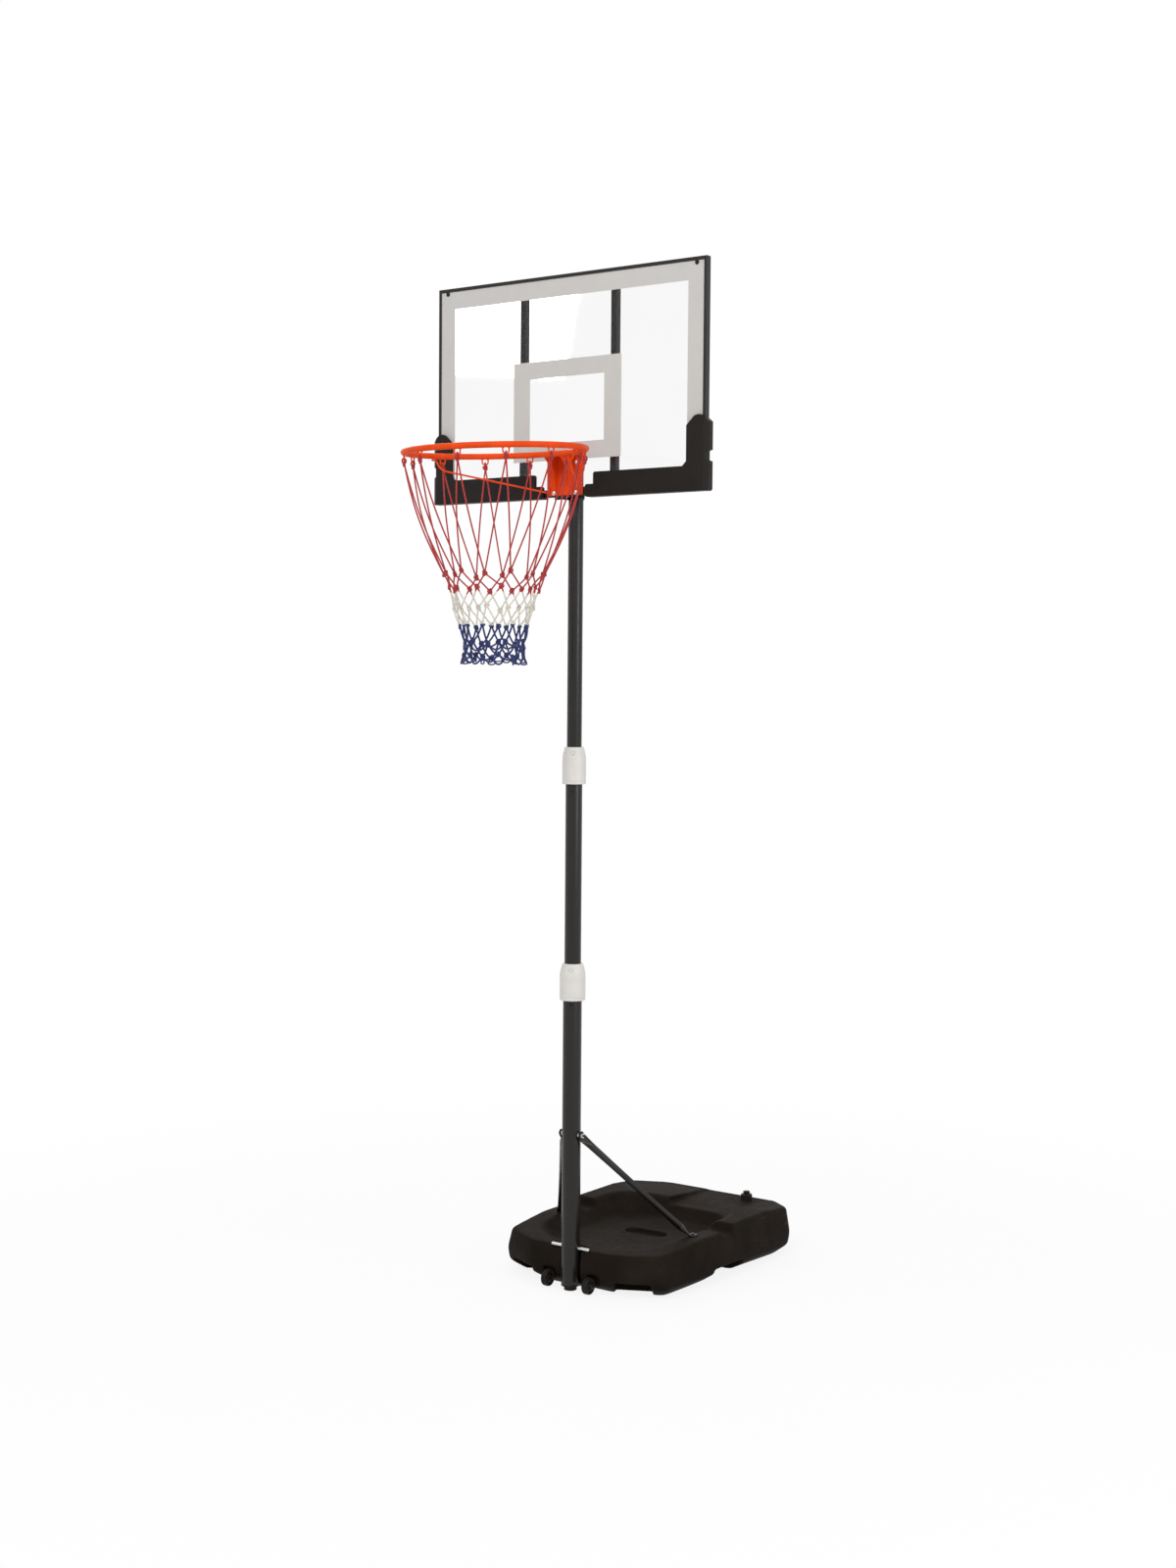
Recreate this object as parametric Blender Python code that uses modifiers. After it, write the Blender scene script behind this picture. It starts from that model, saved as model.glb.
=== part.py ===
"""Portable basketball stand on a fillable tank base.

Units are metres. The origin is on the floor at the axis of the pole. X points to the right of
someone who faces the backboard, Y points to the rear, and Z points up.
"""

import math

import bmesh
import bpy
from mathutils import Matrix, Vector

# Clearances, and how far cutters reach past what they cut
GAP = 0.0003
RUNNING = 0.0004
PAST = 0.010
FAR = 0.200

# Telescopic pole
TUBE_WALL = 0.0015
LOWER_RADIUS = 0.026
MIDDLE_RADIUS = 0.023
UPPER_RADIUS = 0.0205
TUBE_SIDES = 24
CAP_PLUG_LENGTH = 0.020
CAP_CHAMFER = 0.002
FOOT_CAP_FLANGE = 0.004
FOOT_NUB_RADIUS = 0.018
FOOT_NUB_HEIGHT = 0.012
LOWER_TOP = 0.846
TUBE_OVERLAP = 0.130
MIDDLE_TOP = 1.444
UPPER_TOP = 2.310
TOP_CAP_FLANGE = 0.004

# Collars that join the tubes
COLLAR_HEIGHT = 0.102
COLLAR_SKIRT = 0.034
COLLAR_BULGE = 0.0098
COLLAR_TOP_LIP = 0.0065
COLLAR_TAPER = 0.032
COLLAR_SHOULDER = (0.88, 0.72)
COLLAR_ROUND = 0.0015
BUTTON_RADIUS = 0.0055
BUTTON_PROUD = 0.003
BUTTON_TRAVEL = 0.0025
BUTTON_ABOVE_SKIRT = 0.086
BUTTON_TURN = math.radians(30)
PIN_HOLE_RADIUS = 0.004
PIN_HOLE_BELOW_LOWER_TOP = 0.043
PIN_HOLE_BELOW_MIDDLE_TOP = 0.054

# Tank base
TANK_FRONT = -0.004
TANK_REAR = 0.788
TANK_HALF_WIDTH = 0.297
TANK_MIDDLE_Y = 0.392
TANK_CORNER_FRONT = (0.145, 0.278, 0.068)
TANK_TAPER_END = 0.245
TANK_CORNER_REAR = (0.195, 0.290, 0.080)
TANK_ROUNDNESS = 60
TANK_POINTS = 88
TANK_WALL = 0.004
RIDGE_FRONT = 0.117
RIDGE_MIDDLE = 0.132
RIDGE_REAR = 0.145
RIDGE_STEP_Y = 0.405
RIDGE_RISE = (0.030, 0.235)
RIDGE_FALL = (0.600, 0.127)
RIDGE_NARROWING = 0.008
EDGE_BEVEL = 0.006
CREST_INSET = 0.008
BELLY_HEIGHT = 0.063
BEVEL_INSET = 0.006
SOLE_INSET = 0.052
SOLE_BEVEL = 0.027
DISH_FRONT = 0.055
DISH_REAR = 0.565
DISH_HALF_WIDTH = 0.218
DISH_ROUNDNESS = 4
DISH_FLOOR = 0.084
DISH_SLOPE = 0.045
DISH_COVE = 0.010
SLOT_HALF_WIDTH = 0.031
SLOT_DEPTH = 0.034
SIDE_DIP = (0.352, 0.400)
SIDE_DIP_SLOPE = 0.012
SIDE_DIP_DEPTH = 0.014
SOLE_NOTCH_HEIGHT = 0.038
SIDE_NOTCH = (0.295, 0.440)
SIDE_NOTCH_DEPTH = 0.110
CORNER_NOTCH_SHARE = 0.36
CORNER_NOTCH_WIDTH = 0.107
CORNER_NOTCH_DEPTH = 0.085
CORNER_NOTCH_HEIGHT = 0.040
RECESS_LENGTH = 0.136
RECESS_WIDTH = 0.054
RECESS_DEPTH = 0.014
RECESS_Y = 0.372
FILLER_PAD = (-0.043, 0.185)
FILLER_PAD_DEPTH = 0.019

# Filler neck and its cap
FILLER_X = 0.119
FILLER_Y = 0.736
NECK_RADIUS = 0.0145
NECK_BORE = 0.0115
NECK_HEIGHT = 0.012
CAP_WALL = 0.0022
CAP_TOP = 0.0035
CAP_KNOB_RADIUS = 0.011
CAP_KNOB_HEIGHT = 0.009
SEAL_THICKNESS = 0.0015

# Wheels
WHEEL_RADIUS = 0.023
WHEEL_WIDTH = 0.018
WHEEL_X = 0.070
WHEEL_Y = -0.012
WHEEL_FLOOR_GAP = 0.0008
AXLE_RADIUS = 0.004
WHEEL_WELL = (0.057, 0.094)
WHEEL_WELL_HEIGHT = 0.052
WHEEL_ROOM = 0.004
AXLE_CAP_RADIUS = 0.008
AXLE_CAP_LENGTH = 0.007

# Cross rod that hooks the pole into the tank
ROD_RADIUS = 0.004
ROD_HALF_LENGTH = 0.064
ROD_HEIGHT = 0.120

# Struts
STRUT_BOLT_HEIGHT = 0.437
STRUT_RADIUS = 0.010
STRUT_TAB_HALF_WIDTH = 0.0125
STRUT_TAB_HALF_THICKNESS = 0.002
STRUT_TAB_LENGTH = 0.010
STRUT_TAPER = 0.032
STRUT_FOOT = (0.232, 0.266)
BOLT_RADIUS = 0.003
BOLT_HEAD_RADIUS = 0.0062
BOLT_HEAD_HEIGHT = 0.004
NUT_RADIUS = 0.0062
NUT_HEIGHT = 0.005
STRUT_BOLT_TAIL = 0.010
RIM_BOLT_TAIL = 0.003
WASHER_RADIUS = 0.009
WASHER_THICKNESS = 0.004
FOOT_BOLT_LENGTH = 0.020
FOOT_BOSS_RADIUS = 0.009
FOOT_BOSS_DEPTH = 0.030

# Backboard
BOARD_WIDTH = 0.900
BOARD_HEIGHT = 0.600
BOARD_BOTTOM = 2.193
BOARD_FRONT = -0.049
RAIL_DEPTH = 0.018
RAIL_WIDTH = 0.020
RAIL_LIP = 0.0095
RAIL_LIP_THICKNESS = 0.002
PANEL_THICKNESS = 0.003
PANEL_EDGE = 0.004
UPRIGHT_X = 0.153
UPRIGHT_WIDTH = 0.019
UPRIGHT_DEPTH = 0.018
UPRIGHT_WALL = 0.0015
RAIL_WALL = 0.0015
CORNER_SCREW_INSET = 0.032
CORNER_SCREW_DROP = 0.0145
SCREW_RADIUS = 0.002
SCREW_HEAD_RADIUS = 0.0062
SCREW_HEAD_HEIGHT = 0.003

# Corner covers of the backboard
COVER_PROUD = 0.009
COVER_OVERHANG = 0.012
COVER_UNDER = 0.004
COVER_BAR_HEIGHT = 0.066
COVER_INNER_X = 0.098
COVER_TOE_X = 0.071
COVER_TOE_HEIGHT = 0.034
COVER_ROUND = 0.004
COVER_ELBOW = 0.012
COVER_ARM_WIDTH = 0.066
COVER_ARM_HEIGHT = 0.197
COVER_CHAMFER = (0.024, 0.026)
COVER_CREST = (0.033, 0.043)
COVER_CREST_RISE = 0.003
COVER_SHOULDER_DROP = 0.015
COVER_SCALLOP_RADIUS = 0.0145
COVER_SCALLOP_DEPTH = 0.009
COVER_SCALLOP_HEIGHT = 0.087
COVER_BEVEL = (0.012, 0.006)
COVER_SCREW_INSET = 0.150

# Rim, hooks and bracket
RIM_INNER_RADIUS = 0.2285
RIM_BAR_RADIUS = 0.008
RIM_REACH = 0.308
RIM_ABOVE_BOARD_BOTTOM = 0.096
RIM_DROOP = math.radians(3.0)
RIM_STEPS = 48
RIM_SIDES = 10
HOOKS = 12
HOOK_WIRE = 0.0018
HOOK_HALF_SPAN = 0.008
HOOK_DROP = 0.013
BRACKET_HALF_WIDTH = 0.060
BRACKET_BOTTOM = 2.197
BRACKET_THICKNESS = 0.003
GUSSET_X = 0.026
GUSSET_THICKNESS = 0.003
GUSSET_NOSE = 0.006
GUSSET_KNEE = (0.022, 0.040)
GUSSET_FOOT = (0.008, 0.010)
GUSSET_END = 0.004
FLANGE_HALF_WIDTH = 0.042
BRACE_RADIUS = 0.0025
BRACE_RIM_ANGLE = math.radians(9.5)
BRACE_DROP = 0.028
BRACE_FOOT = (0.050, 0.007)
BRACE_LAP = 0.014
BRACE_KNEE_INSET = 0.020

# Clamps that hold the board to the pole
CLAMP_THICKNESS = 0.0025
CLAMP_HEIGHT = 0.032
CLAMP_HALF_WIDTH = 0.050
CLAMP_BOLT_X = 0.0365
CLAMP_CREASE = 0.001
UPPER_CLAMP_HEIGHT = 0.0915
LOWER_CLAMP_HEIGHT = 0.0105

# Net
NET_CORD = 0.0046
NET_RADII = (0.2365, 0.130, 0.119, 0.101, 0.087, 0.081, 0.076)
NET_DROPS = (0.0, 0.292, 0.335, 0.380, 0.424, 0.468, 0.520)
NET_KNOT_HALF_WIDTH = 0.0052
NET_KNOT_HALF_HEIGHT = 0.0068

# Heights that follow from the sizes above
MIDDLE_BOTTOM = LOWER_TOP - TUBE_OVERLAP
UPPER_BOTTOM = MIDDLE_TOP - TUBE_OVERLAP
WHEEL_CENTRE = WHEEL_RADIUS + WHEEL_FLOOR_GAP
PANEL_FRONT = BOARD_FRONT + RAIL_LIP_THICKNESS + GAP
PANEL_BACK = PANEL_FRONT + PANEL_THICKNESS
RAIL_BACK = BOARD_FRONT + RAIL_DEPTH
BOARD_TOP = BOARD_BOTTOM + BOARD_HEIGHT
RIM_RADIUS = RIM_INNER_RADIUS + RIM_BAR_RADIUS
RIM_CENTRE = Vector((0, BOARD_FRONT - RIM_REACH, BOARD_BOTTOM + RIM_ABOVE_BOARD_BOTTOM))
FILLER_DECK = RIDGE_REAR - FILLER_PAD_DEPTH

STEEL_BLACK = ("black_steel", (0.020, 0.019, 0.018), 0.42, 0.0, 1.0)
PLASTIC_BLACK = ("black_plastic", (0.024, 0.022, 0.020), 0.55, 0.0, 1.0)
PLASTIC_WHITE = ("white_plastic", (0.72, 0.69, 0.64), 0.45, 0.0, 1.0)
RUBBER_BLACK = ("black_rubber", (0.018, 0.018, 0.018), 0.8, 0.0, 1.0)
PAINT_ORANGE = ("orange_paint", (0.80, 0.14, 0.03), 0.38, 0.0, 1.0)
ZINC = ("zinc_steel", (0.62, 0.62, 0.60), 0.32, 1.0, 1.0)
CLEAR = ("clear_sheet", (0.86, 0.88, 0.88), 0.08, 0.0, 0.22)
CORD = ("net_cord", (0.75, 0.30, 0.25), 0.9, 0.0, 1.0)

TURN_Z_TO = {"X": (0, math.pi / 2, 0), "Y": (-math.pi / 2, 0, 0), "Z": (0, 0, 0)}
TURN_XY_TO = {"XY": (0, 0, 0), "XZ": (math.pi / 2, 0, 0), "YZ": (math.pi / 2, 0, math.pi / 2)}
HOMES = {}


def clear_scene():
    """Removes whatever the scene holds, so that only the stand is left."""
    for obj in list(bpy.data.objects):
        bpy.data.objects.remove(obj, do_unlink=True)


def collection(name):
    """Makes a collection in the scene."""
    made = bpy.data.collections.new(name)
    bpy.context.scene.collection.children.link(made)
    return made


def material(finish):
    """Makes or finds the Principled material of a finish."""
    name, colour, roughness, metallic, alpha = finish
    made = bpy.data.materials.get(name)
    if made is None:
        made = bpy.data.materials.new(name)
        made.use_nodes = True
        shader = made.node_tree.nodes["Principled BSDF"]
        shader.inputs["Base Color"].default_value = (*colour, 1)
        shader.inputs["Roughness"].default_value = roughness
        shader.inputs["Metallic"].default_value = metallic
        shader.inputs["Alpha"].default_value = alpha
    return made


def place(obj, finish=None):
    """Puts an object among the parts, or among the cutters if it has no finish."""
    if finish is None:
        HOMES["cutters"].objects.link(obj)
        obj.hide_render = True
        obj.display_type = "WIRE"
    else:
        HOMES["parts"].objects.link(obj)
        obj.data.materials.append(material(finish))
    return obj


def from_bmesh(name, shape, finish=None):
    """Turns a bmesh into a placed object."""
    mesh = bpy.data.meshes.new(name)
    bmesh.ops.recalc_face_normals(shape, faces=shape.faces)
    shape.to_mesh(mesh)
    shape.free()
    return place(bpy.data.objects.new(name, mesh), finish)


def box(name, low, high, finish=None):
    """A block between two corners."""
    low, high = Vector(low), Vector(high)
    shape = bmesh.new()
    bmesh.ops.create_cube(shape, size=1.0)
    bmesh.ops.scale(shape, vec=high - low, verts=shape.verts)
    obj = from_bmesh(name, shape, finish)
    obj.location = (low + high) / 2
    return obj


def turned(name, profile, finish=None, at=(0, 0, 0), axis="Z", sides=TUBE_SIDES, closed=True):
    """A solid of revolution. The profile is (radius, height) pairs that run down its outer side
    from the top, then, for a closed profile, up the bore.
    """
    mesh = bpy.data.meshes.new(name)
    points = [(radius, 0, height) for radius, height in profile]
    edges = [(i, i + 1) for i in range(len(points) - 1)]
    if closed:
        edges.append((len(points) - 1, 0))
    mesh.from_pydata(points, edges, [])
    obj = place(bpy.data.objects.new(name, mesh), finish)
    screw = obj.modifiers.new("turn", "SCREW")
    screw.steps = screw.render_steps = sides
    screw.use_merge_vertices = True
    screw.merge_threshold = 1e-5
    obj.location = at
    obj.rotation_euler = TURN_Z_TO[axis]
    return obj


def rod(name, radius, start, end, at, axis, finish=None, sides=16):
    """A round bar along one axis from start to end, measured from at."""
    shape = bmesh.new()
    bmesh.ops.create_cone(
        shape, cap_ends=True, segments=sides, radius1=radius, radius2=radius,
        depth=end - start,
    )
    bmesh.ops.translate(shape, verts=shape.verts, vec=(0, 0, (start + end) / 2))
    obj = from_bmesh(name, shape, finish)
    obj.location = at
    obj.rotation_euler = TURN_Z_TO[axis]
    return obj


def tube(name, radius, bore, start, end, at, axis, finish=None, sides=TUBE_SIDES):
    """A round tube along one axis from start to end, measured from at."""
    profile = [(bore, end), (radius, end), (radius, start), (bore, start)]
    return turned(name, profile, finish, at, axis, sides)


def bolt(name, head, tip, finish, radius=BOLT_RADIUS, head_radius=BOLT_HEAD_RADIUS,
         head_height=BOLT_HEAD_HEIGHT):
    """A bolt with a domed head. Its shank runs from the point under the head to the tip."""
    head, tip = Vector(head), Vector(tip)
    length = (tip - head).length
    profile = [
        (0, head_height),
        (head_radius * 0.6, head_height * 0.85),
        (head_radius, head_height * 0.35),
        (head_radius, 0),
        (radius, 0),
        (radius, -length),
        (0, -length),
    ]
    obj = turned(name, profile, finish, head, "Z", 12, closed=False)
    obj.rotation_euler = (head - tip).to_track_quat("Z", "Y").to_euler()
    return obj


def nut(name, at, direction, finish, radius=NUT_RADIUS, height=NUT_HEIGHT):
    """A hexagonal nut whose near face is at the point and which grows along the direction."""
    turn = Vector(direction).to_track_quat("Z", "Y").to_euler()
    obj = rod(name, radius, 0, height, at, "Z", finish, sides=6)
    bore = rod(name + "_bore", BOLT_RADIUS + GAP, -height, 2 * height, at, "Z")
    obj.rotation_euler = bore.rotation_euler = turn
    return cut(obj, bore)


def loft(name, rings, finish=None):
    """Skins a list of rings with equal numbers of points, and caps the first and the last."""
    shape = bmesh.new()
    rows = [[shape.verts.new(point) for point in ring] for ring in rings]
    count = len(rows[0])
    for first, second in zip(rows, rows[1:]):
        for k in range(count):
            after = (k + 1) % count
            shape.faces.new((first[k], first[after], second[after], second[k]))
    shape.faces.new(rows[0])
    shape.faces.new(rows[-1])
    return from_bmesh(name, shape, finish)


def plate(name, outline, low, high, plane, finish=None):
    """A flat outline in the XY, XZ or YZ plane, thick from low to high across that plane."""
    curve = bpy.data.curves.new(name, "CURVE")
    curve.dimensions = "2D"
    curve.fill_mode = "BOTH"
    curve.extrude = (high - low) / 2
    spline = curve.splines.new("POLY")
    spline.points.add(len(outline) - 1)
    for point, (across, up) in zip(spline.points, outline):
        point.co = (across, up, 0, 1)
    spline.use_cyclic_u = True
    obj = place(bpy.data.objects.new(name, curve), finish)
    middle = (low + high) / 2
    obj.location = {"XY": (0, 0, middle), "XZ": (0, middle, 0), "YZ": (middle, 0, 0)}[plane]
    obj.rotation_euler = TURN_XY_TO[plane]
    return as_mesh(obj)


def wire(name, points, radius, finish=None, sides=2, cyclic=False):
    """A round wire through the points."""
    curve = bpy.data.curves.new(name, "CURVE")
    curve.dimensions = "3D"
    curve.bevel_depth = radius
    curve.bevel_resolution = sides
    curve.use_fill_caps = True
    spline = curve.splines.new("POLY")
    spline.points.add(len(points) - 1)
    for place_at, point in zip(spline.points, points):
        place_at.co = (*point, 1)
    spline.use_cyclic_u = cyclic
    return place(bpy.data.objects.new(name, curve), finish)


def as_mesh(obj):
    """Replaces a curve by the mesh it makes, with its caps welded."""
    graph = bpy.context.evaluated_depsgraph_get()
    graph.update()
    mesh = bpy.data.meshes.new_from_object(obj.evaluated_get(graph))
    shape = bmesh.new()
    shape.from_mesh(mesh)
    bmesh.ops.remove_doubles(shape, verts=shape.verts, dist=1e-6)
    bmesh.ops.recalc_face_normals(shape, faces=shape.faces)
    shape.to_mesh(mesh)
    shape.free()
    made = bpy.data.objects.new(obj.name, mesh)
    made.matrix_world = obj.matrix_world.copy()
    for home in list(obj.users_collection):
        home.objects.link(made)
    made.hide_render = obj.hide_render
    made.display_type = obj.display_type
    name = obj.name
    bpy.data.objects.remove(obj, do_unlink=True)
    made.name = name
    return made


def combine(obj, tool, operation):
    """Adds a Boolean of the tool to the object."""
    step = obj.modifiers.new(tool.name, "BOOLEAN")
    step.operation = operation
    step.object = tool
    step.solver = "EXACT"
    return obj


def cut(obj, *tools):
    """Takes the tools away from the object."""
    for tool in tools:
        combine(obj, tool, "DIFFERENCE")
    return obj


def weld(obj, *tools):
    """Joins the tools to the object."""
    for tool in tools:
        combine(obj, tool, "UNION")
    return obj


def body(name, at):
    """An empty on the axis of a moving body, which carries the body's pieces."""
    empty = bpy.data.objects.new(name, None)
    empty.location = at
    HOMES["parts"].objects.link(empty)
    return empty


def carry(carrier, *pieces):
    """Parents pieces to an empty without moving them."""
    offset = Matrix.Translation(-carrier.location)
    for piece in pieces:
        piece.parent = carrier
        piece.matrix_parent_inverse = offset


def rounded_reach(angle, planes, roundness):
    """Distance from the centre to a rounded polygon, given as (direction, distance) sides."""
    total = sum(
        max(0.0, math.cos(angle - direction) / distance) ** roundness
        for direction, distance in planes
    )
    return total ** (-1 / roundness)


def side_plane(start, end):
    """The (direction, distance) of the sloping side between two points, seen from the middle."""
    along = Vector(end) - Vector(start)
    normal = Vector((along.y, -along.x)).normalized()
    distance = normal.dot(Vector(start))
    if distance < 0:
        normal, distance = -normal, -distance
    return math.atan2(normal.y, normal.x), distance


def tank_planes(narrowing=0.0):
    """The ten sides of the tank's outline around its middle, with its flanks drawn in."""
    front = TANK_MIDDLE_Y - TANK_FRONT
    rear = TANK_REAR - TANK_MIDDLE_Y
    near_x, far_x, run = TANK_CORNER_FRONT
    front_corner = side_plane((near_x, -front), (far_x, run - front))
    direction, distance = side_plane(
        (far_x, run - front), (TANK_HALF_WIDTH, TANK_TAPER_END - TANK_MIDDLE_Y))
    taper = direction, distance - narrowing
    near_x, far_x, run = TANK_CORNER_REAR
    rear_corner = side_plane((near_x, rear), (far_x, rear - run))
    planes = [(-math.pi / 2, front), (math.pi / 2, rear)]
    half_width = TANK_HALF_WIDTH - narrowing
    planes += [(0, half_width), (math.pi, half_width)]
    for direction, distance in (front_corner, taper, rear_corner):
        planes += [(direction, distance), (math.pi - direction, distance)]
    return planes


def dish_planes():
    """The four sides of the sunken middle of the tank."""
    return [
        (-math.pi / 2, TANK_MIDDLE_Y - DISH_FRONT),
        (math.pi / 2, DISH_REAR - TANK_MIDDLE_Y),
        (0, DISH_HALF_WIDTH),
        (math.pi, DISH_HALF_WIDTH),
    ]


def tank_form(name, shrink, finish=None):
    """The tank's skin, drawn in by shrink everywhere: sole, belly, crest, ridge and dish."""
    outer, crest, dish = tank_planes(), tank_planes(RIDGE_NARROWING), dish_planes()

    def ring(reach_of, height_of):
        points = []
        for k in range(TANK_POINTS):
            angle = math.tau * k / TANK_POINTS
            reach = reach_of(angle)
            x, y = reach * math.cos(angle), TANK_MIDDLE_Y + reach * math.sin(angle)
            points.append((x, y, height_of(y)))
        return points

    def outside(inset, planes=outer):
        return lambda angle: rounded_reach(angle, planes, TANK_ROUNDNESS) - inset - shrink

    def inside(inset):
        return lambda angle: rounded_reach(angle, dish, DISH_ROUNDNESS) - inset + shrink

    def ridge(y):
        if y > RIDGE_STEP_Y:
            start, end_height = RIDGE_FALL
            share = max(0.0, (y - start) / (TANK_REAR - start))
            return RIDGE_REAR + (end_height - RIDGE_REAR) * share - shrink
        start, end = RIDGE_RISE
        share = min(1.0, max(0.0, (y - start) / (end - start)))
        return RIDGE_FRONT + (RIDGE_MIDDLE - RIDGE_FRONT) * share - shrink

    def level(height):
        return lambda y: height

    rings = [
        ring(outside(SOLE_INSET), level(shrink)),
        ring(outside(BEVEL_INSET), level(SOLE_BEVEL + shrink / 2)),
        ring(outside(0), level(BELLY_HEIGHT)),
        ring(outside(CREST_INSET, crest), lambda y: ridge(y) - EDGE_BEVEL),
        ring(outside(CREST_INSET + EDGE_BEVEL, crest), ridge),
        ring(inside(0), ridge),
        ring(inside(DISH_COVE), lambda y: ridge(y) - EDGE_BEVEL),
        ring(inside(DISH_SLOPE), level(DISH_FLOOR + DISH_COVE / 2 - shrink)),
        ring(inside(DISH_SLOPE + DISH_COVE), level(DISH_FLOOR - shrink)),
    ]
    form = loft(name, rings, finish)
    form.modifiers.new("flat_faces", "TRIANGULATE")
    return form


def trough_across(name, y_range, z_range, slope, shrink):
    """A trough cutter that runs along X, with sides that lean out upwards."""
    reach = TANK_HALF_WIDTH * 1.2
    low_y, high_y = y_range[0] - shrink, y_range[1] + shrink
    low_z, high_z = z_range
    outline = [
        (low_y, low_z),
        (high_y, low_z),
        (high_y + slope, high_z),
        (low_y - slope, high_z),
    ]
    return plate(name, outline, -reach, reach, "YZ")


def capsule(name, length, width, low, high, at):
    """An upright prism with rounded ends, longer along X."""
    half, radius, arc = length / 2 - width / 2, width / 2, 8
    outline = []
    for side, start in ((1, -math.pi / 2), (-1, math.pi / 2)):
        for k in range(arc + 1):
            angle = start + math.pi * k / arc
            x = at[0] + side * half + radius * math.cos(angle)
            outline.append((x, at[1] + radius * math.sin(angle)))
    return plate(name, outline, low, high, "XY")


def tank_cutters(shrink):
    """What is taken from the tank's form, grown by shrink for the hollow inside."""
    tag = "_hollow" if shrink else ""
    far = FAR
    cutters = [
        box(
            "slot" + tag,
            (-SLOT_HALF_WIDTH - shrink, -far, -far),
            (SLOT_HALF_WIDTH + shrink, SLOT_DEPTH + shrink, far),
        ),
        trough_across(
            "side_dip" + tag,
            SIDE_DIP,
            (RIDGE_MIDDLE - SIDE_DIP_DEPTH - shrink, RIDGE_REAR + SIDE_DIP_DEPTH),
            SIDE_DIP_SLOPE,
            shrink,
        ),
        box(
            "filler_pad" + tag,
            (FILLER_PAD[0] - shrink, DISH_REAR - 5 * PAST, FILLER_DECK - shrink),
            (FILLER_PAD[1] + shrink, TANK_REAR + 5 * PAST, far),
        ),
        capsule(
            "recess" + tag,
            RECESS_LENGTH + 2 * shrink,
            RECESS_WIDTH + 2 * shrink,
            DISH_FLOOR - RECESS_DEPTH - shrink,
            far,
            (0, RECESS_Y),
        ),
    ]
    near_x, far_x, run = TANK_CORNER_FRONT
    corner = Vector((near_x, TANK_FRONT, 0)).lerp(
        Vector((far_x, TANK_FRONT + run, 0)), CORNER_NOTCH_SHARE)
    turn = math.atan2(run, far_x - near_x)
    for side, label in ((-1, "_left"), (1, "_right")):
        cutters.append(box(
            "side_notch" + label + tag,
            (side * TANK_HALF_WIDTH - SIDE_NOTCH_DEPTH - shrink, SIDE_NOTCH[0] - shrink, -far),
            (side * TANK_HALF_WIDTH + SIDE_NOTCH_DEPTH + shrink, SIDE_NOTCH[1] + shrink,
             SOLE_NOTCH_HEIGHT + shrink),
        ))
        well = sorted(side * (edge + way * shrink) for edge, way in zip(WHEEL_WELL, (-1, 1)))
        cutters.append(box(
            "wheel_well" + label + tag,
            (well[0], -far, -far),
            (well[1], WHEEL_Y + WHEEL_RADIUS + WHEEL_ROOM + shrink, WHEEL_WELL_HEIGHT + shrink),
        ))
        half = CORNER_NOTCH_WIDTH / 2 + shrink
        notch = box(
            "corner_notch" + label + tag,
            (-half, -CORNER_NOTCH_DEPTH - shrink, -far),
            (half, CORNER_NOTCH_DEPTH + shrink, CORNER_NOTCH_HEIGHT + shrink),
        )
        middle = notch.location.z
        notch.location = (side * corner.x, corner.y, middle)
        notch.rotation_euler = (0, 0, side * turn)
        cutters.append(notch)
    return cutters


def make_tank():
    """The blow-moulded tank with its hollow, filler neck and strut bosses."""
    tank = tank_form("base_tank", 0, PLASTIC_BLACK)
    cut(tank, *tank_cutters(0))
    hollow = tank_form("tank_hollow", TANK_WALL)
    cut(hollow, *tank_cutters(TANK_WALL))
    bosses, holes = [], []
    for side, label in ((-1, "_left"), (1, "_right")):
        foot = (side * STRUT_FOOT[0], STRUT_FOOT[1], 0)
        low, high = RIDGE_MIDDLE - FOOT_BOSS_DEPTH, RIDGE_MIDDLE + FOOT_BOSS_DEPTH
        bosses.append(rod("boss" + label, FOOT_BOSS_RADIUS, low, high, foot, "Z"))
        hole_low = RIDGE_MIDDLE - FOOT_BOLT_LENGTH - 2 * GAP
        holes.append(rod("boss_hole" + label, BOLT_RADIUS + GAP, hole_low, high, foot, "Z"))
    cut(hollow, *bosses)
    neck_low = FILLER_DECK - TANK_WALL / 2
    neck = rod(
        "neck", NECK_RADIUS, neck_low, FILLER_DECK + NECK_HEIGHT, (FILLER_X, FILLER_Y, 0), "Z",
        sides=TUBE_SIDES,
    )
    mouth = rod(
        "mouth", NECK_BORE, FILLER_DECK - 2 * TANK_WALL, FILLER_DECK + 2 * NECK_HEIGHT,
        (FILLER_X, FILLER_Y, 0), "Z", sides=TUBE_SIDES,
    )
    groove = rod(
        "rod_groove", ROD_RADIUS + GAP, -ROD_HALF_LENGTH - GAP, ROD_HALF_LENGTH + GAP,
        (0, 0, ROD_HEIGHT), "X",
    )
    cut(tank, hollow)
    weld(tank, neck)
    cut(tank, mouth, groove, *holes)
    return tank


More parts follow.
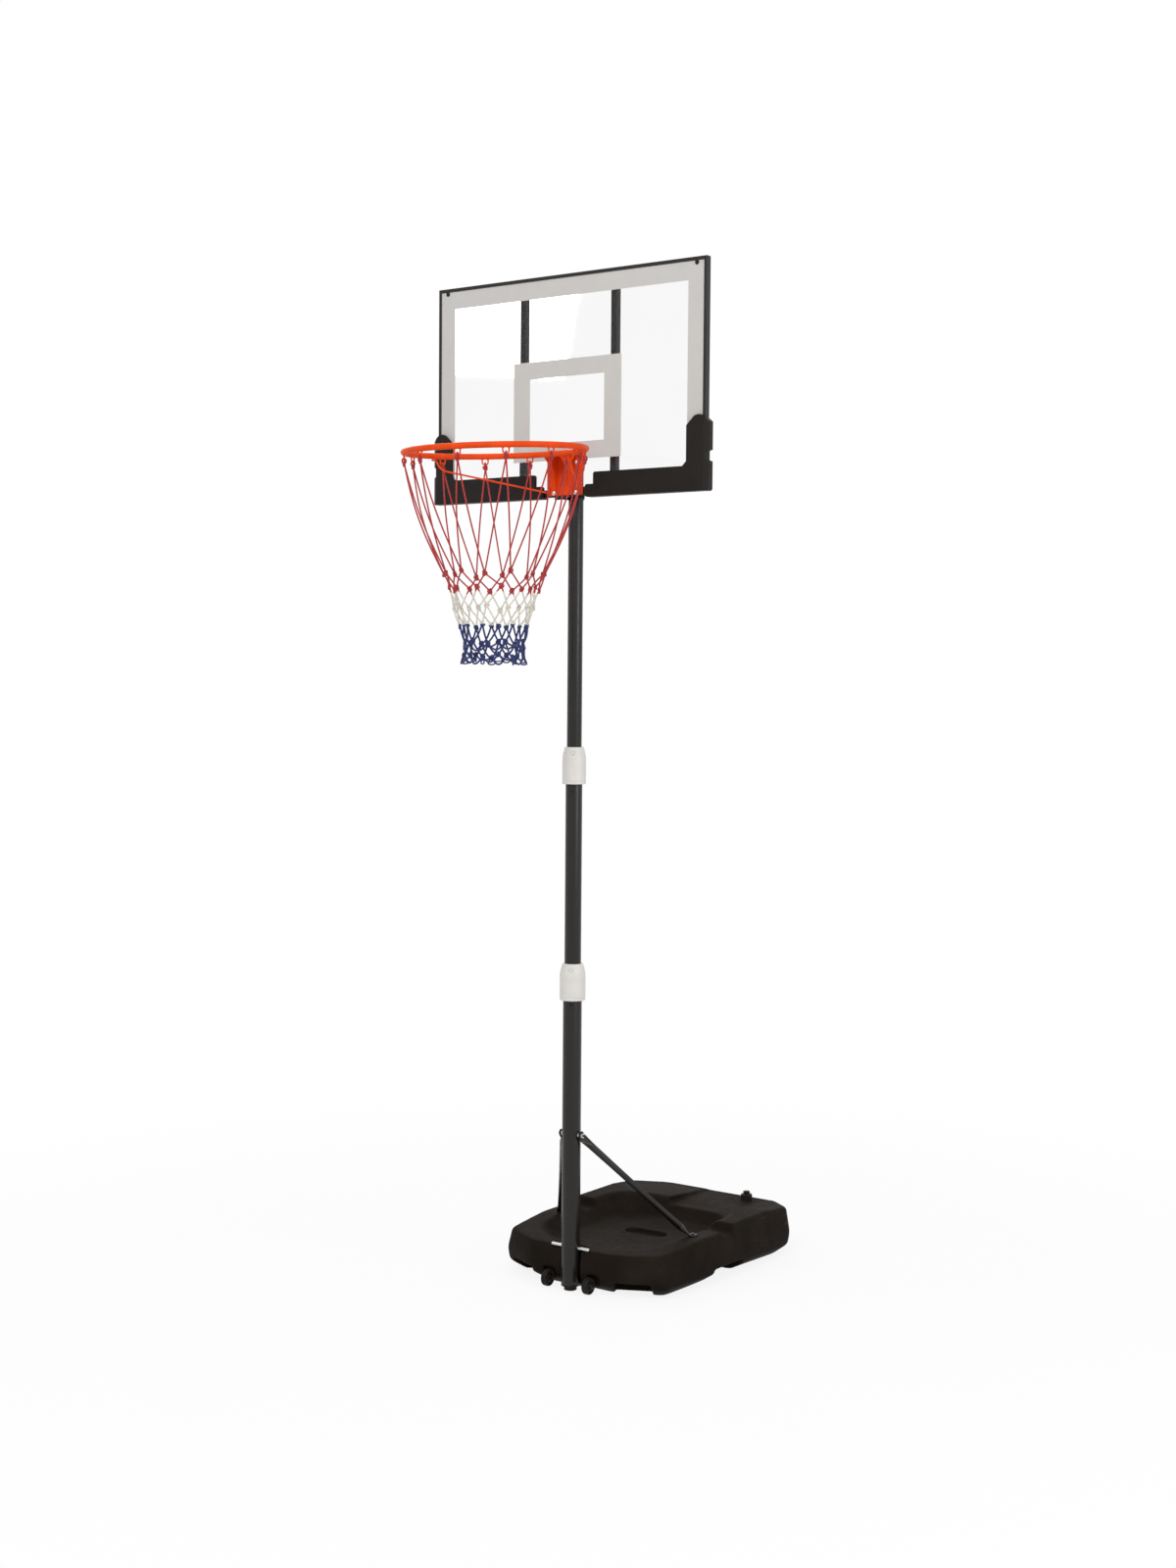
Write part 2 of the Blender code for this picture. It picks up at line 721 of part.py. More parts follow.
def make_filler():
    """The filler cap, its finger knob and the sealing ring under it."""
    bore = NECK_RADIUS + RUNNING
    skirt = FILLER_DECK + GAP
    inside = FILLER_DECK + NECK_HEIGHT + SEAL_THICKNESS + 2 * GAP
    top = inside + CAP_TOP
    outside = bore + CAP_WALL
    profile = [
        (0, top + CAP_KNOB_HEIGHT),
        (CAP_KNOB_RADIUS * 0.8, top + CAP_KNOB_HEIGHT),
        (CAP_KNOB_RADIUS, top + CAP_KNOB_HEIGHT * 0.75),
        (CAP_KNOB_RADIUS * 0.75, top),
        (outside * 0.9, top),
        (outside, top - CAP_WALL),
        (outside, skirt),
        (bore, skirt),
        (bore, inside),
        (0, inside),
    ]
    at = (FILLER_X, FILLER_Y, 0)
    cap = turned("filler_cap", profile, PLASTIC_BLACK, at, closed=False)
    seat = FILLER_DECK + NECK_HEIGHT + GAP
    seal = tube(
        "cap_seal", NECK_RADIUS - GAP, NECK_BORE, seat, seat + SEAL_THICKNESS, at, "Z",
        RUBBER_BLACK,
    )
    carrier = body("filler_cap_axis", (FILLER_X, FILLER_Y, FILLER_DECK))
    carry(carrier, cap, seal)


def make_wheels():
    """The axle, two wheels with a hub and tread, and the caps on the axle's ends."""
    half = WHEEL_X + WHEEL_WIDTH / 2 + AXLE_CAP_LENGTH * 0.6
    centre = (0, WHEEL_Y, WHEEL_CENTRE)
    rod("wheel_axle", AXLE_RADIUS, -half, half, centre, "X", STEEL_BLACK, sides=TUBE_SIDES)
    bore = AXLE_RADIUS + RUNNING
    w = WHEEL_WIDTH / 2
    profile = [
        (bore, w),
        (WHEEL_RADIUS * 0.40, w),
        (WHEEL_RADIUS * 0.45, w * 0.6),
        (WHEEL_RADIUS * 0.78, w * 0.6),
        (WHEEL_RADIUS * 0.84, w * 0.9),
        (WHEEL_RADIUS * 0.97, w * 0.9),
        (WHEEL_RADIUS, w * 0.6),
        (WHEEL_RADIUS, -w * 0.6),
        (WHEEL_RADIUS * 0.97, -w * 0.9),
        (WHEEL_RADIUS * 0.84, -w * 0.9),
        (WHEEL_RADIUS * 0.78, -w * 0.6),
        (WHEEL_RADIUS * 0.45, -w * 0.6),
        (WHEEL_RADIUS * 0.40, -w),
        (bore, -w),
    ]
    for side, label in ((-1, "left"), (1, "right")):
        at = (side * WHEEL_X, WHEEL_Y, WHEEL_CENTRE)
        turned("wheel_" + label, profile, PLASTIC_BLACK, at, "X")
        inner = WHEEL_WIDTH / 2 + GAP
        outer = inner + AXLE_CAP_LENGTH
        seat = half - WHEEL_X + GAP
        cap_profile = [
            (0, outer),
            (AXLE_CAP_RADIUS * 0.7, outer),
            (AXLE_CAP_RADIUS, outer - AXLE_CAP_LENGTH * 0.4),
            (AXLE_CAP_RADIUS, inner),
            (AXLE_RADIUS + GAP, inner),
            (AXLE_RADIUS + GAP, seat),
            (0, seat),
        ]
        cap = turned("axle_cap_" + label, cap_profile, PLASTIC_BLACK, at, "X", 16, closed=False)
        cap.rotation_euler = (0, side * math.pi / 2, 0)


def collar_profile(outer_radius, inner_radius, outer_top):
    """Profile of a collar that sits on the outer tube's end and guides the inner tube."""
    skirt_bore = outer_radius + GAP
    guide_bore = inner_radius + RUNNING
    low = outer_top - COLLAR_SKIRT
    high = low + COLLAR_HEIGHT
    bulge = outer_radius + COLLAR_BULGE
    lip = inner_radius + COLLAR_TOP_LIP
    across, down = COLLAR_SHOULDER
    return [
        (guide_bore, high),
        (lip - COLLAR_ROUND, high),
        (lip, high - COLLAR_ROUND),
        (lip + (bulge - lip) * across, high - COLLAR_TAPER * down),
        (bulge, high - COLLAR_TAPER),
        (bulge, low + COLLAR_ROUND),
        (bulge - COLLAR_ROUND, low),
        (skirt_bore, low),
        (skirt_bore, outer_top + GAP),
        (guide_bore, outer_top + GAP),
    ]


def make_collar(label, outer_radius, inner_radius, outer_top):
    """A collar with its lock button, which is pushed in towards the pole's axis."""
    collar = turned(
        "collar_" + label, collar_profile(outer_radius, inner_radius, outer_top), PLASTIC_WHITE,
        sides=32,
    )
    lip = inner_radius + COLLAR_TOP_LIP
    tapered = (COLLAR_HEIGHT - BUTTON_ABOVE_SKIRT) / COLLAR_TAPER
    face = lip + (outer_radius + COLLAR_BULGE - lip) * tapered
    height = outer_top - COLLAR_SKIRT + BUTTON_ABOVE_SKIRT
    inner_end = inner_radius + RUNNING + BUTTON_TRAVEL + GAP
    at = (0, 0, height)
    hole = rod(
        "button_hole_" + label, BUTTON_RADIUS + RUNNING, inner_radius, face + BUTTON_PROUD * 2,
        at, "Y",
    )
    hole.rotation_euler = (math.pi / 2, 0, BUTTON_TURN)
    cut(collar, hole)
    profile = [
        (0, face + BUTTON_PROUD),
        (BUTTON_RADIUS * 0.7, face + BUTTON_PROUD * 0.85),
        (BUTTON_RADIUS, face + BUTTON_PROUD * 0.3),
        (BUTTON_RADIUS, inner_end),
        (0, inner_end),
    ]
    button = turned("lock_button_" + label, profile, PLASTIC_WHITE, at, sides=16, closed=False)
    button.rotation_euler = (math.pi / 2, 0, BUTTON_TURN)
    aside, ahead = math.sin(BUTTON_TURN) * face, math.cos(BUTTON_TURN) * face
    carrier = body("lock_button_axis_" + label, (aside, -ahead, height))
    carry(carrier, button)
    return collar, carrier


def cross_hole(name, radius, height):
    """A cutter along X through the pole at a height."""
    return rod(name, radius, -2 * LOWER_RADIUS, 2 * LOWER_RADIUS, (0, 0, height), "X")


def pin_hole(name, radius, height):
    """A cutter for a locking hole in a tube's wall, on the lock buttons' side."""
    hole = rod(name, PIN_HOLE_RADIUS, radius / 2, radius * 2, (0, 0, height), "Y")
    hole.rotation_euler = (math.pi / 2, 0, BUTTON_TURN)
    return hole


def make_pole():
    """The three tubes, their collars, and the caps on the lowest and highest ends."""
    flange_top = FOOT_NUB_HEIGHT + FOOT_CAP_FLANGE
    foot_top = flange_top + GAP
    lower = tube(
        "pole_lower", LOWER_RADIUS, LOWER_RADIUS - TUBE_WALL, foot_top, LOWER_TOP, (0, 0, 0),
        "Z", STEEL_BLACK,
    )
    axle_hole = cross_hole("axle_hole", AXLE_RADIUS + GAP, WHEEL_CENTRE)
    axle_hole.location.y = WHEEL_Y
    cut(
        lower,
        cross_hole("rod_hole", ROD_RADIUS + GAP, ROD_HEIGHT),
        cross_hole("strut_bolt_hole", BOLT_RADIUS + GAP, STRUT_BOLT_HEIGHT),
        pin_hole("pin_hole_lower", LOWER_RADIUS, LOWER_TOP - PIN_HOLE_BELOW_LOWER_TOP),
        axle_hole,
    )
    plug = LOWER_RADIUS - TUBE_WALL - GAP
    foot_profile = [
        (0, foot_top + CAP_PLUG_LENGTH),
        (plug, foot_top + CAP_PLUG_LENGTH),
        (plug, flange_top),
        (LOWER_RADIUS, flange_top),
        (LOWER_RADIUS, FOOT_NUB_HEIGHT),
        (FOOT_NUB_RADIUS, FOOT_NUB_HEIGHT),
        (FOOT_NUB_RADIUS, 0),
        (0, 0),
    ]
    foot = turned("pole_foot_cap", foot_profile, PLASTIC_BLACK, closed=False)
    cut(foot, axle_hole)
    rod(
        "pole_rod", ROD_RADIUS, -ROD_HALF_LENGTH, ROD_HALF_LENGTH, (0, 0, ROD_HEIGHT), "X",
        ZINC, sides=TUBE_SIDES,
    )
    make_collar("lower", LOWER_RADIUS, MIDDLE_RADIUS, LOWER_TOP)

    middle_body = body("pole_middle_axis", (0, 0, MIDDLE_BOTTOM))
    middle = tube(
        "pole_middle", MIDDLE_RADIUS, MIDDLE_RADIUS - TUBE_WALL, MIDDLE_BOTTOM, MIDDLE_TOP,
        (0, 0, 0), "Z", STEEL_BLACK,
    )
    pin_height = MIDDLE_TOP - PIN_HOLE_BELOW_MIDDLE_TOP
    cut(middle, pin_hole("pin_hole_middle", MIDDLE_RADIUS, pin_height))
    collar, button = make_collar("upper", MIDDLE_RADIUS, UPPER_RADIUS, MIDDLE_TOP)
    carry(middle_body, middle, collar, button)

    upper_body = body("pole_upper_axis", (0, 0, UPPER_BOTTOM))
    upper = tube(
        "pole_upper", UPPER_RADIUS, UPPER_RADIUS - TUBE_WALL, UPPER_BOTTOM, UPPER_TOP,
        (0, 0, 0), "Z", STEEL_BLACK,
    )
    cap_plug = UPPER_RADIUS - TUBE_WALL - GAP
    cap_top = UPPER_TOP + GAP + TOP_CAP_FLANGE
    cap_profile = [
        (0, cap_top),
        (UPPER_RADIUS - CAP_CHAMFER, cap_top),
        (UPPER_RADIUS, cap_top - CAP_CHAMFER),
        (UPPER_RADIUS, UPPER_TOP + GAP),
        (cap_plug, UPPER_TOP + GAP),
        (cap_plug, UPPER_TOP - CAP_PLUG_LENGTH),
        (0, UPPER_TOP - CAP_PLUG_LENGTH),
    ]
    cap = turned("pole_top_cap", cap_profile, PLASTIC_BLACK, closed=False)
    carry(upper_body, upper, cap)
    return upper_body


def strut_sections(side):
    """Centre, width axis, thickness axis and half sizes of each section of a strut, from the
    flattened end at the pole to the flattened end on the tank.
    """
    tab_x = LOWER_RADIUS + WASHER_THICKNESS + 2 * GAP + STRUT_TAB_HALF_THICKNESS
    top = Vector((side * tab_x, 0, STRUT_BOLT_HEIGHT))
    seat = RIDGE_MIDDLE + GAP + STRUT_TAB_HALF_THICKNESS
    foot = Vector((side * STRUT_FOOT[0], STRUT_FOOT[1], seat))
    run = foot - top
    across_pole = Vector((side, 0, 0))
    slope = Vector((0, run.y, run.z)).normalized()
    heading = Vector((run.x, run.y, 0)).normalized()
    top_bend = top + slope * STRUT_TAB_LENGTH
    foot_bend = foot - heading * STRUT_TAB_LENGTH
    along = (foot_bend - top_bend).normalized()
    flat, round_ = (STRUT_TAB_HALF_WIDTH, STRUT_TAB_HALF_THICKNESS), (STRUT_RADIUS, STRUT_RADIUS)
    top_width = across_pole.cross(slope).normalized()
    foot_width = Vector((0, 0, 1)).cross(heading).normalized()
    body_width = (across_pole - along * across_pole.dot(along)).normalized().cross(along)
    body_thick = along.cross(body_width)
    sections = [
        (top - slope * STRUT_TAB_HALF_WIDTH, top_width, across_pole, (flat[0] * 0.55, flat[1])),
        (top - slope * STRUT_TAB_HALF_WIDTH * 0.6, top_width, across_pole, flat),
        (top_bend, top_width, across_pole, flat),
        (top_bend + along * STRUT_TAPER, body_width, body_thick, round_),
        (foot_bend - along * STRUT_TAPER, body_width, body_thick, round_),
        (foot_bend, foot_width, Vector((0, 0, 1)), flat),
        (foot + heading * STRUT_TAB_HALF_WIDTH * 0.6, foot_width, Vector((0, 0, 1)), flat),
        (foot + heading * STRUT_TAB_HALF_WIDTH, foot_width, Vector((0, 0, 1)),
         (flat[0] * 0.55, flat[1])),
    ]
    return sections, top, foot


def make_struts():
    """Two splayed struts, the bolt through the pole, and the bolts into the tank."""
    sides = 12
    for side, label in ((-1, "left"), (1, "right")):
        sections, top, foot = strut_sections(side)
        rings = []
        reference = None
        for centre, wide, thick, (half_wide, half_thick) in sections:
            if reference is not None and wide.dot(reference) < 0:
                wide = -wide
            reference = wide
            if thick.dot(Vector((side, 0, 1))) < 0:
                thick = -thick
            ring = []
            for k in range(sides):
                angle = math.tau * (k + 0.5) / sides
                squeeze = 1 / math.cos(math.pi / sides)
                ring.append(
                    centre
                    + wide * half_wide * math.cos(angle)
                    + thick * half_thick * squeeze * math.sin(angle)
                )
            rings.append(ring)
        strut = loft("strut_" + label, rings, STEEL_BLACK)
        through = (-STRUT_TAB_HALF_WIDTH, STRUT_TAB_HALF_WIDTH)
        cut(
            strut,
            rod("strut_top_hole_" + label, BOLT_RADIUS + GAP, *through, top, "X"),
            rod("strut_foot_hole_" + label, BOLT_RADIUS + GAP, *through, foot, "Z"),
        )
        under_head = foot.z + STRUT_TAB_HALF_THICKNESS + GAP
        bolt(
            "strut_foot_bolt_" + label,
            (foot.x, foot.y, under_head),
            (foot.x, foot.y, RIDGE_MIDDLE - FOOT_BOLT_LENGTH),
            STEEL_BLACK,
        )
        inner = LOWER_RADIUS + GAP
        washer = tube(
            "strut_washer_" + label, WASHER_RADIUS, BOLT_RADIUS + GAP, inner,
            inner + WASHER_THICKNESS, (0, 0, STRUT_BOLT_HEIGHT), "X", ZINC, sides=16,
        )
        washer.rotation_euler = (0, side * math.pi / 2, 0)
    outer = top.x + STRUT_TAB_HALF_THICKNESS + GAP
    tip = outer + NUT_HEIGHT + STRUT_BOLT_TAIL
    bolt("strut_bolt", (-outer, 0, STRUT_BOLT_HEIGHT), (tip, 0, STRUT_BOLT_HEIGHT),
         STEEL_BLACK, head_radius=BOLT_HEAD_RADIUS * 1.2, head_height=BOLT_HEAD_HEIGHT * 1.5)
    nut("strut_nut", (outer, 0, STRUT_BOLT_HEIGHT), (1, 0, 0), ZINC, radius=NUT_RADIUS * 1.2,
        height=NUT_HEIGHT * 1.2)


def rail(name, start, end, inward, lip, finish):
    """A frame rail between two outer corners, mitred at 45 degrees. Its section is a square bar
    with a groove for the sheet and a front lip.
    """
    start, end, inward = Vector(start), Vector(end), Vector(inward)
    along = (end - start).normalized()
    lip_back = BOARD_FRONT + RAIL_LIP_THICKNESS
    groove_back = PANEL_BACK + GAP
    section = [
        (0, BOARD_FRONT),
        (lip, BOARD_FRONT),
        (lip, lip_back),
        (PANEL_EDGE - GAP, lip_back),
        (PANEL_EDGE - GAP, groove_back),
        (RAIL_WIDTH, groove_back),
        (RAIL_WIDTH, RAIL_BACK),
        (0, RAIL_BACK),
    ]
    near, far = groove_back + RAIL_WALL, RAIL_BACK - RAIL_WALL
    shallow, deep = RAIL_WALL, RAIL_WIDTH - RAIL_WALL
    hollow = [(shallow, near), (deep, near), (deep, far), (shallow, far)]

    def mitred(label, outline, past, finish=None):
        rings = []
        for corner, direction in ((start, along), (end, -along)):
            ring = []
            for depth, y in outline:
                point = corner + inward * depth + direction * (depth - past)
                ring.append((point.x, y, point.z))
            rings.append(ring)
        return loft(label, rings, finish)

    made = mitred(name, section, -GAP, finish)
    return cut(made, mitred(name + "_bore", hollow, RAIL_WIDTH))


def make_board(carrier):
    """The clear sheet, its four rails, the two uprights behind it and the corner screws."""
    half = BOARD_WIDTH / 2
    corners = {
        "lower_left": (-half, 0, BOARD_BOTTOM),
        "lower_right": (half, 0, BOARD_BOTTOM),
        "upper_right": (half, 0, BOARD_TOP),
        "upper_left": (-half, 0, BOARD_TOP),
    }
    rails = [
        rail("rail_bottom", corners["lower_left"], corners["lower_right"], (0, 0, 1),
             RAIL_WIDTH, STEEL_BLACK),
        rail("rail_right", corners["lower_right"], corners["upper_right"], (-1, 0, 0),
             RAIL_LIP, STEEL_BLACK),
        rail("rail_top", corners["upper_right"], corners["upper_left"], (0, 0, -1),
             RAIL_LIP, STEEL_BLACK),
        rail("rail_left", corners["upper_left"], corners["lower_left"], (1, 0, 0),
             RAIL_LIP, STEEL_BLACK),
    ]
    panel = box(
        "board_panel",
        (-half + PANEL_EDGE, PANEL_FRONT, BOARD_BOTTOM + PANEL_EDGE),
        (half - PANEL_EDGE, PANEL_BACK, BOARD_TOP - PANEL_EDGE),
        CLEAR,
    )
    pieces = [panel, *rails]
    upright_front = PANEL_BACK + GAP
    for side, label in ((-1, "left"), (1, "right")):
        x = side * UPRIGHT_X
        low, high = BOARD_BOTTOM + RAIL_WIDTH + GAP, BOARD_TOP - RAIL_WIDTH - GAP
        upright = box(
            "upright_" + label,
            (x - UPRIGHT_WIDTH / 2, upright_front, low),
            (x + UPRIGHT_WIDTH / 2, upright_front + UPRIGHT_DEPTH, high),
            STEEL_BLACK,
        )
        bore = box(
            "upright_bore_" + label,
            (x - UPRIGHT_WIDTH / 2 + UPRIGHT_WALL, upright_front + UPRIGHT_WALL, low - PAST),
            (x + UPRIGHT_WIDTH / 2 - UPRIGHT_WALL, upright_front + UPRIGHT_DEPTH - UPRIGHT_WALL,
             high + PAST),
        )
        cut(upright, bore)
        screw_z = BOARD_TOP - CORNER_SCREW_DROP
        screw_x = side * (BOARD_WIDTH / 2 - CORNER_SCREW_INSET)
        tip = RAIL_BACK - SCREW_RADIUS
        hole = rod("corner_screw_hole_" + label, SCREW_RADIUS + GAP,
                   BOARD_FRONT - PAST, tip + GAP, (screw_x, 0, screw_z), "Y")
        cut(panel, hole)
        cut(rails[2], hole)
        screw = bolt(
            "corner_screw_" + label,
            (screw_x, PANEL_FRONT - GAP, screw_z),
            (screw_x, tip, screw_z),
            PLASTIC_BLACK, SCREW_RADIUS, SCREW_HEAD_RADIUS, SCREW_HEAD_HEIGHT,
        )
        notch = rod("corner_screw_notch_" + label, SCREW_HEAD_RADIUS + GAP,
                    BOARD_FRONT - PAST, PANEL_FRONT, (screw_x, 0, screw_z), "Y")
        cut(rails[2], notch)
        pieces += [upright, screw]
    carry(carrier, *pieces)
    return panel, rails[0]


def cover_outline(side):
    """The L outline of a corner cover in X and Z, from its inner end round to its arm."""
    low = BOARD_BOTTOM - COVER_UNDER
    outer = BOARD_WIDTH / 2 + COVER_OVERHANG
    arm_inner = outer - COVER_ARM_WIDTH
    top = low + COVER_ARM_HEIGHT
    shoulder = top - COVER_SHOULDER_DROP
    chamfer_x, chamfer_z = COVER_CHAMFER
    bar_top = low + COVER_BAR_HEIGHT
    toe_top = low + COVER_TOE_HEIGHT
    soft = COVER_ROUND
    points = [
        (COVER_TOE_X + soft, low),
        (outer - soft, low),
        (outer, low + soft),
        (outer, shoulder - soft),
        (outer - soft, shoulder),
        (arm_inner + COVER_CREST[1], top),
        (arm_inner + COVER_CREST[0], top),
        (arm_inner + chamfer_x, top - COVER_CREST_RISE),
        (arm_inner, top - chamfer_z),
        (arm_inner, bar_top + COVER_ELBOW),
        (arm_inner - COVER_ELBOW, bar_top),
        (COVER_INNER_X + soft, bar_top),
        (COVER_INNER_X, bar_top - soft),
        (COVER_INNER_X, toe_top),
        (COVER_TOE_X + soft, toe_top),
        (COVER_TOE_X, toe_top - soft),
        (COVER_TOE_X, low + soft),
    ]
    return [(side * x, z) for x, z in points]


def make_covers(carrier, panel, bottom_rail):
    """The two moulded corner covers and the screws that hold them from behind."""
    front, back = BOARD_FRONT - COVER_PROUD, RAIL_BACK
    half = BOARD_WIDTH / 2
    for side, label in ((-1, "left"), (1, "right")):
        cover = plate("cover_" + label, cover_outline(side), front, back, "XZ", PLASTIC_BLACK)
        inner, outer = sorted((0.0, side * (half + GAP)))
        pocket = box(
            "cover_pocket_" + label,
            (inner, BOARD_FRONT - GAP, BOARD_BOTTOM - GAP),
            (outer, back + 5 * PAST, BOARD_TOP),
        )
        edge = half + COVER_OVERHANG
        scallop = rod(
            "cover_scallop_" + label, COVER_SCALLOP_RADIUS, front - PAST, back + PAST,
            (side * edge, 0, BOARD_BOTTOM + COVER_SCALLOP_HEIGHT), "Y",
        )
        inner, outer = sorted((side * (edge - COVER_SCALLOP_DEPTH), side * (edge + PAST)))
        bite = box(
            "scallop_depth_" + label, (inner, front - 2 * PAST, BOARD_BOTTOM),
            (outer, back + 2 * PAST, BOARD_TOP),
        )
        combine(scallop, bite, "INTERSECT")
        bevel_x, bevel_y = COVER_BEVEL
        wedge = [
            (side * (edge - bevel_x), front),
            (side * (edge + bevel_x), front + 2 * bevel_y),
            (side * (edge + bevel_x), front - PAST),
            (side * (edge - bevel_x), front - PAST),
        ]
        bevel = plate("cover_bevel_" + label, wedge, BOARD_BOTTOM - PAST, BOARD_TOP, "XY")
        screw_z = BOARD_BOTTOM + RAIL_WIDTH / 2
        screw_x = side * (half - COVER_SCREW_INSET)
        head = RAIL_BACK + GAP
        tip = head - RAIL_DEPTH - COVER_PROUD / 2
        hole = rod("cover_screw_hole_" + label, SCREW_RADIUS + GAP, tip - GAP, head + PAST,
                   (screw_x, 0, screw_z), "Y")
        cut(cover, pocket, scallop, bevel, hole)
        cut(panel, hole)
        cut(bottom_rail, hole)
        screw = bolt(
            "cover_screw_" + label, (screw_x, head, screw_z), (screw_x, tip, screw_z), ZINC,
            SCREW_RADIUS, SCREW_HEAD_RADIUS * 0.7, SCREW_HEAD_HEIGHT * 0.7,
        )
        carry(carrier, cover, screw)


def rim_point(angle, radius, drop=0.0):
    """A point of the rim's plane: angle from +X towards the rear, tipped down at the front."""
    flat = Vector((radius * math.cos(angle), radius * math.sin(angle), -drop))
    return RIM_CENTRE + Matrix.Rotation(RIM_DROOP, 3, "X") @ flat


def hoop(name, bar_radius, finish=None):
    """A round bar bent into the rim's circle, in the rim's plane."""
    profile = []
    for k in range(RIM_SIDES):
        angle = math.pi / 2 - math.tau * (k + 0.5) / RIM_SIDES
        profile.append((
            RIM_RADIUS + bar_radius * math.cos(angle),
            bar_radius * math.sin(angle),
        ))
    made = turned(name, profile, finish, RIM_CENTRE, sides=RIM_STEPS)
    made.rotation_euler = (RIM_DROOP, 0, 0)
    return made


def make_rim(carrier):
    """The ring with twelve net hooks, its bracket and the two brace rods."""
    ring = hoop("rim_ring", RIM_BAR_RADIUS, PAINT_ORANGE)
    for index in range(HOOKS):
        angle = math.tau * (index + 0.5) / HOOKS
        half_angle = HOOK_HALF_SPAN / RIM_RADIUS
        start = RIM_BAR_RADIUS - HOOK_WIRE
        low = RIM_BAR_RADIUS + HOOK_DROP
        points = [
            rim_point(angle - half_angle, RIM_RADIUS, start),
            rim_point(angle - half_angle, RIM_RADIUS, low - HOOK_HALF_SPAN * 0.6),
            rim_point(angle - half_angle * 0.6, RIM_RADIUS, low),
            rim_point(angle + half_angle * 0.6, RIM_RADIUS, low),
            rim_point(angle + half_angle, RIM_RADIUS, low - HOOK_HALF_SPAN * 0.6),
            rim_point(angle + half_angle, RIM_RADIUS, start),
        ]
        weld(ring, as_mesh(wire("hook_%02d" % (index + 1), points, HOOK_WIRE, sides=0)))

    rear = rim_point(math.pi / 2, RIM_RADIUS)
    plate_back = BOARD_FRONT - GAP
    plate_front = plate_back - BRACKET_THICKNESS
    flange_top = rear.z + RIM_BAR_RADIUS * 0.6
    flange_low = flange_top - BRACKET_THICKNESS
    nose = rear.y + RIM_BAR_RADIUS + GAP * 2
    bracket = box(
        "rim_bracket",
        (-BRACKET_HALF_WIDTH, plate_front, BRACKET_BOTTOM),
        (BRACKET_HALF_WIDTH, plate_back, flange_top),
        PAINT_ORANGE,
    )
    sagitta = RIM_RADIUS - math.sqrt(RIM_RADIUS**2 - FLANGE_HALF_WIDTH**2)
    flange = box(
        "rim_flange",
        (-FLANGE_HALF_WIDTH, nose - sagitta, flange_low),
        (FLANGE_HALF_WIDTH, plate_front + BRACKET_THICKNESS / 2, flange_top),
    )
    weld(bracket, flange)
    for side, label in ((-1, "left"), (1, "right")):
        x = side * GUSSET_X
        outline = [
            (nose, flange_low + BRACKET_THICKNESS / 2),
            (nose, flange_low - GUSSET_NOSE),
            (plate_front - GUSSET_KNEE[0], flange_low - GUSSET_KNEE[1]),
            (plate_front - GUSSET_FOOT[0], BRACKET_BOTTOM + GUSSET_FOOT[1]),
            (plate_front + BRACKET_THICKNESS / 2, BRACKET_BOTTOM + GUSSET_END),
            (plate_front + BRACKET_THICKNESS / 2, flange_low + BRACKET_THICKNESS / 2),
        ]
        thick = GUSSET_THICKNESS / 2
        weld(bracket, plate("rim_gusset_" + label, outline, x - thick, x + thick, "YZ"))
    cut(bracket, hoop("rim_seat", RIM_BAR_RADIUS + GAP))

    braces = []
    for side, label in ((-1, "left"), (1, "right")):
        angle = BRACE_RIM_ANGLE if side > 0 else math.pi - BRACE_RIM_ANGLE
        hang = RIM_BAR_RADIUS + BRACE_RADIUS + GAP
        start = rim_point(angle - side * BRACE_LAP / RIM_RADIUS, RIM_RADIUS, hang)
        top = rim_point(angle, RIM_RADIUS, hang)
        knee = rim_point(angle, RIM_RADIUS - BRACE_KNEE_INSET, hang + BRACE_DROP)
        foot = Vector((
            side * BRACE_FOOT[0],
            plate_front - BRACE_RADIUS - GAP,
            BRACKET_BOTTOM + BRACE_FOOT[1],
        ))
        tail = foot + Vector((0, 0, BRACE_LAP))
        points = [start, top, top.lerp(knee, 0.5), knee, knee.lerp(foot, 0.08), foot, tail]
        braces.append(wire("rim_brace_" + label, points, BRACE_RADIUS, PAINT_ORANGE, sides=1))
    carry(carrier, ring, bracket, *braces)
    return bracket


def clamp_path():
    """Half-open strap path round the pole, in X and Y, between its two flat wings."""
    front = RAIL_BACK + GAP + CLAMP_THICKNESS / 2
    radius = UPPER_RADIUS + GAP + CLAMP_THICKNESS / 2
    crease = CLAMP_CREASE
    path = [(-CLAMP_HALF_WIDTH, front), (-radius - crease, front), (-radius, front + crease)]
    arc = 12
    for k in range(arc + 1):
        angle = math.pi - math.pi * k / arc
        path.append((radius * math.cos(angle), radius * math.sin(angle)))
    path += [(radius, front + crease), (radius + crease, front), (CLAMP_HALF_WIDTH, front)]
    return path


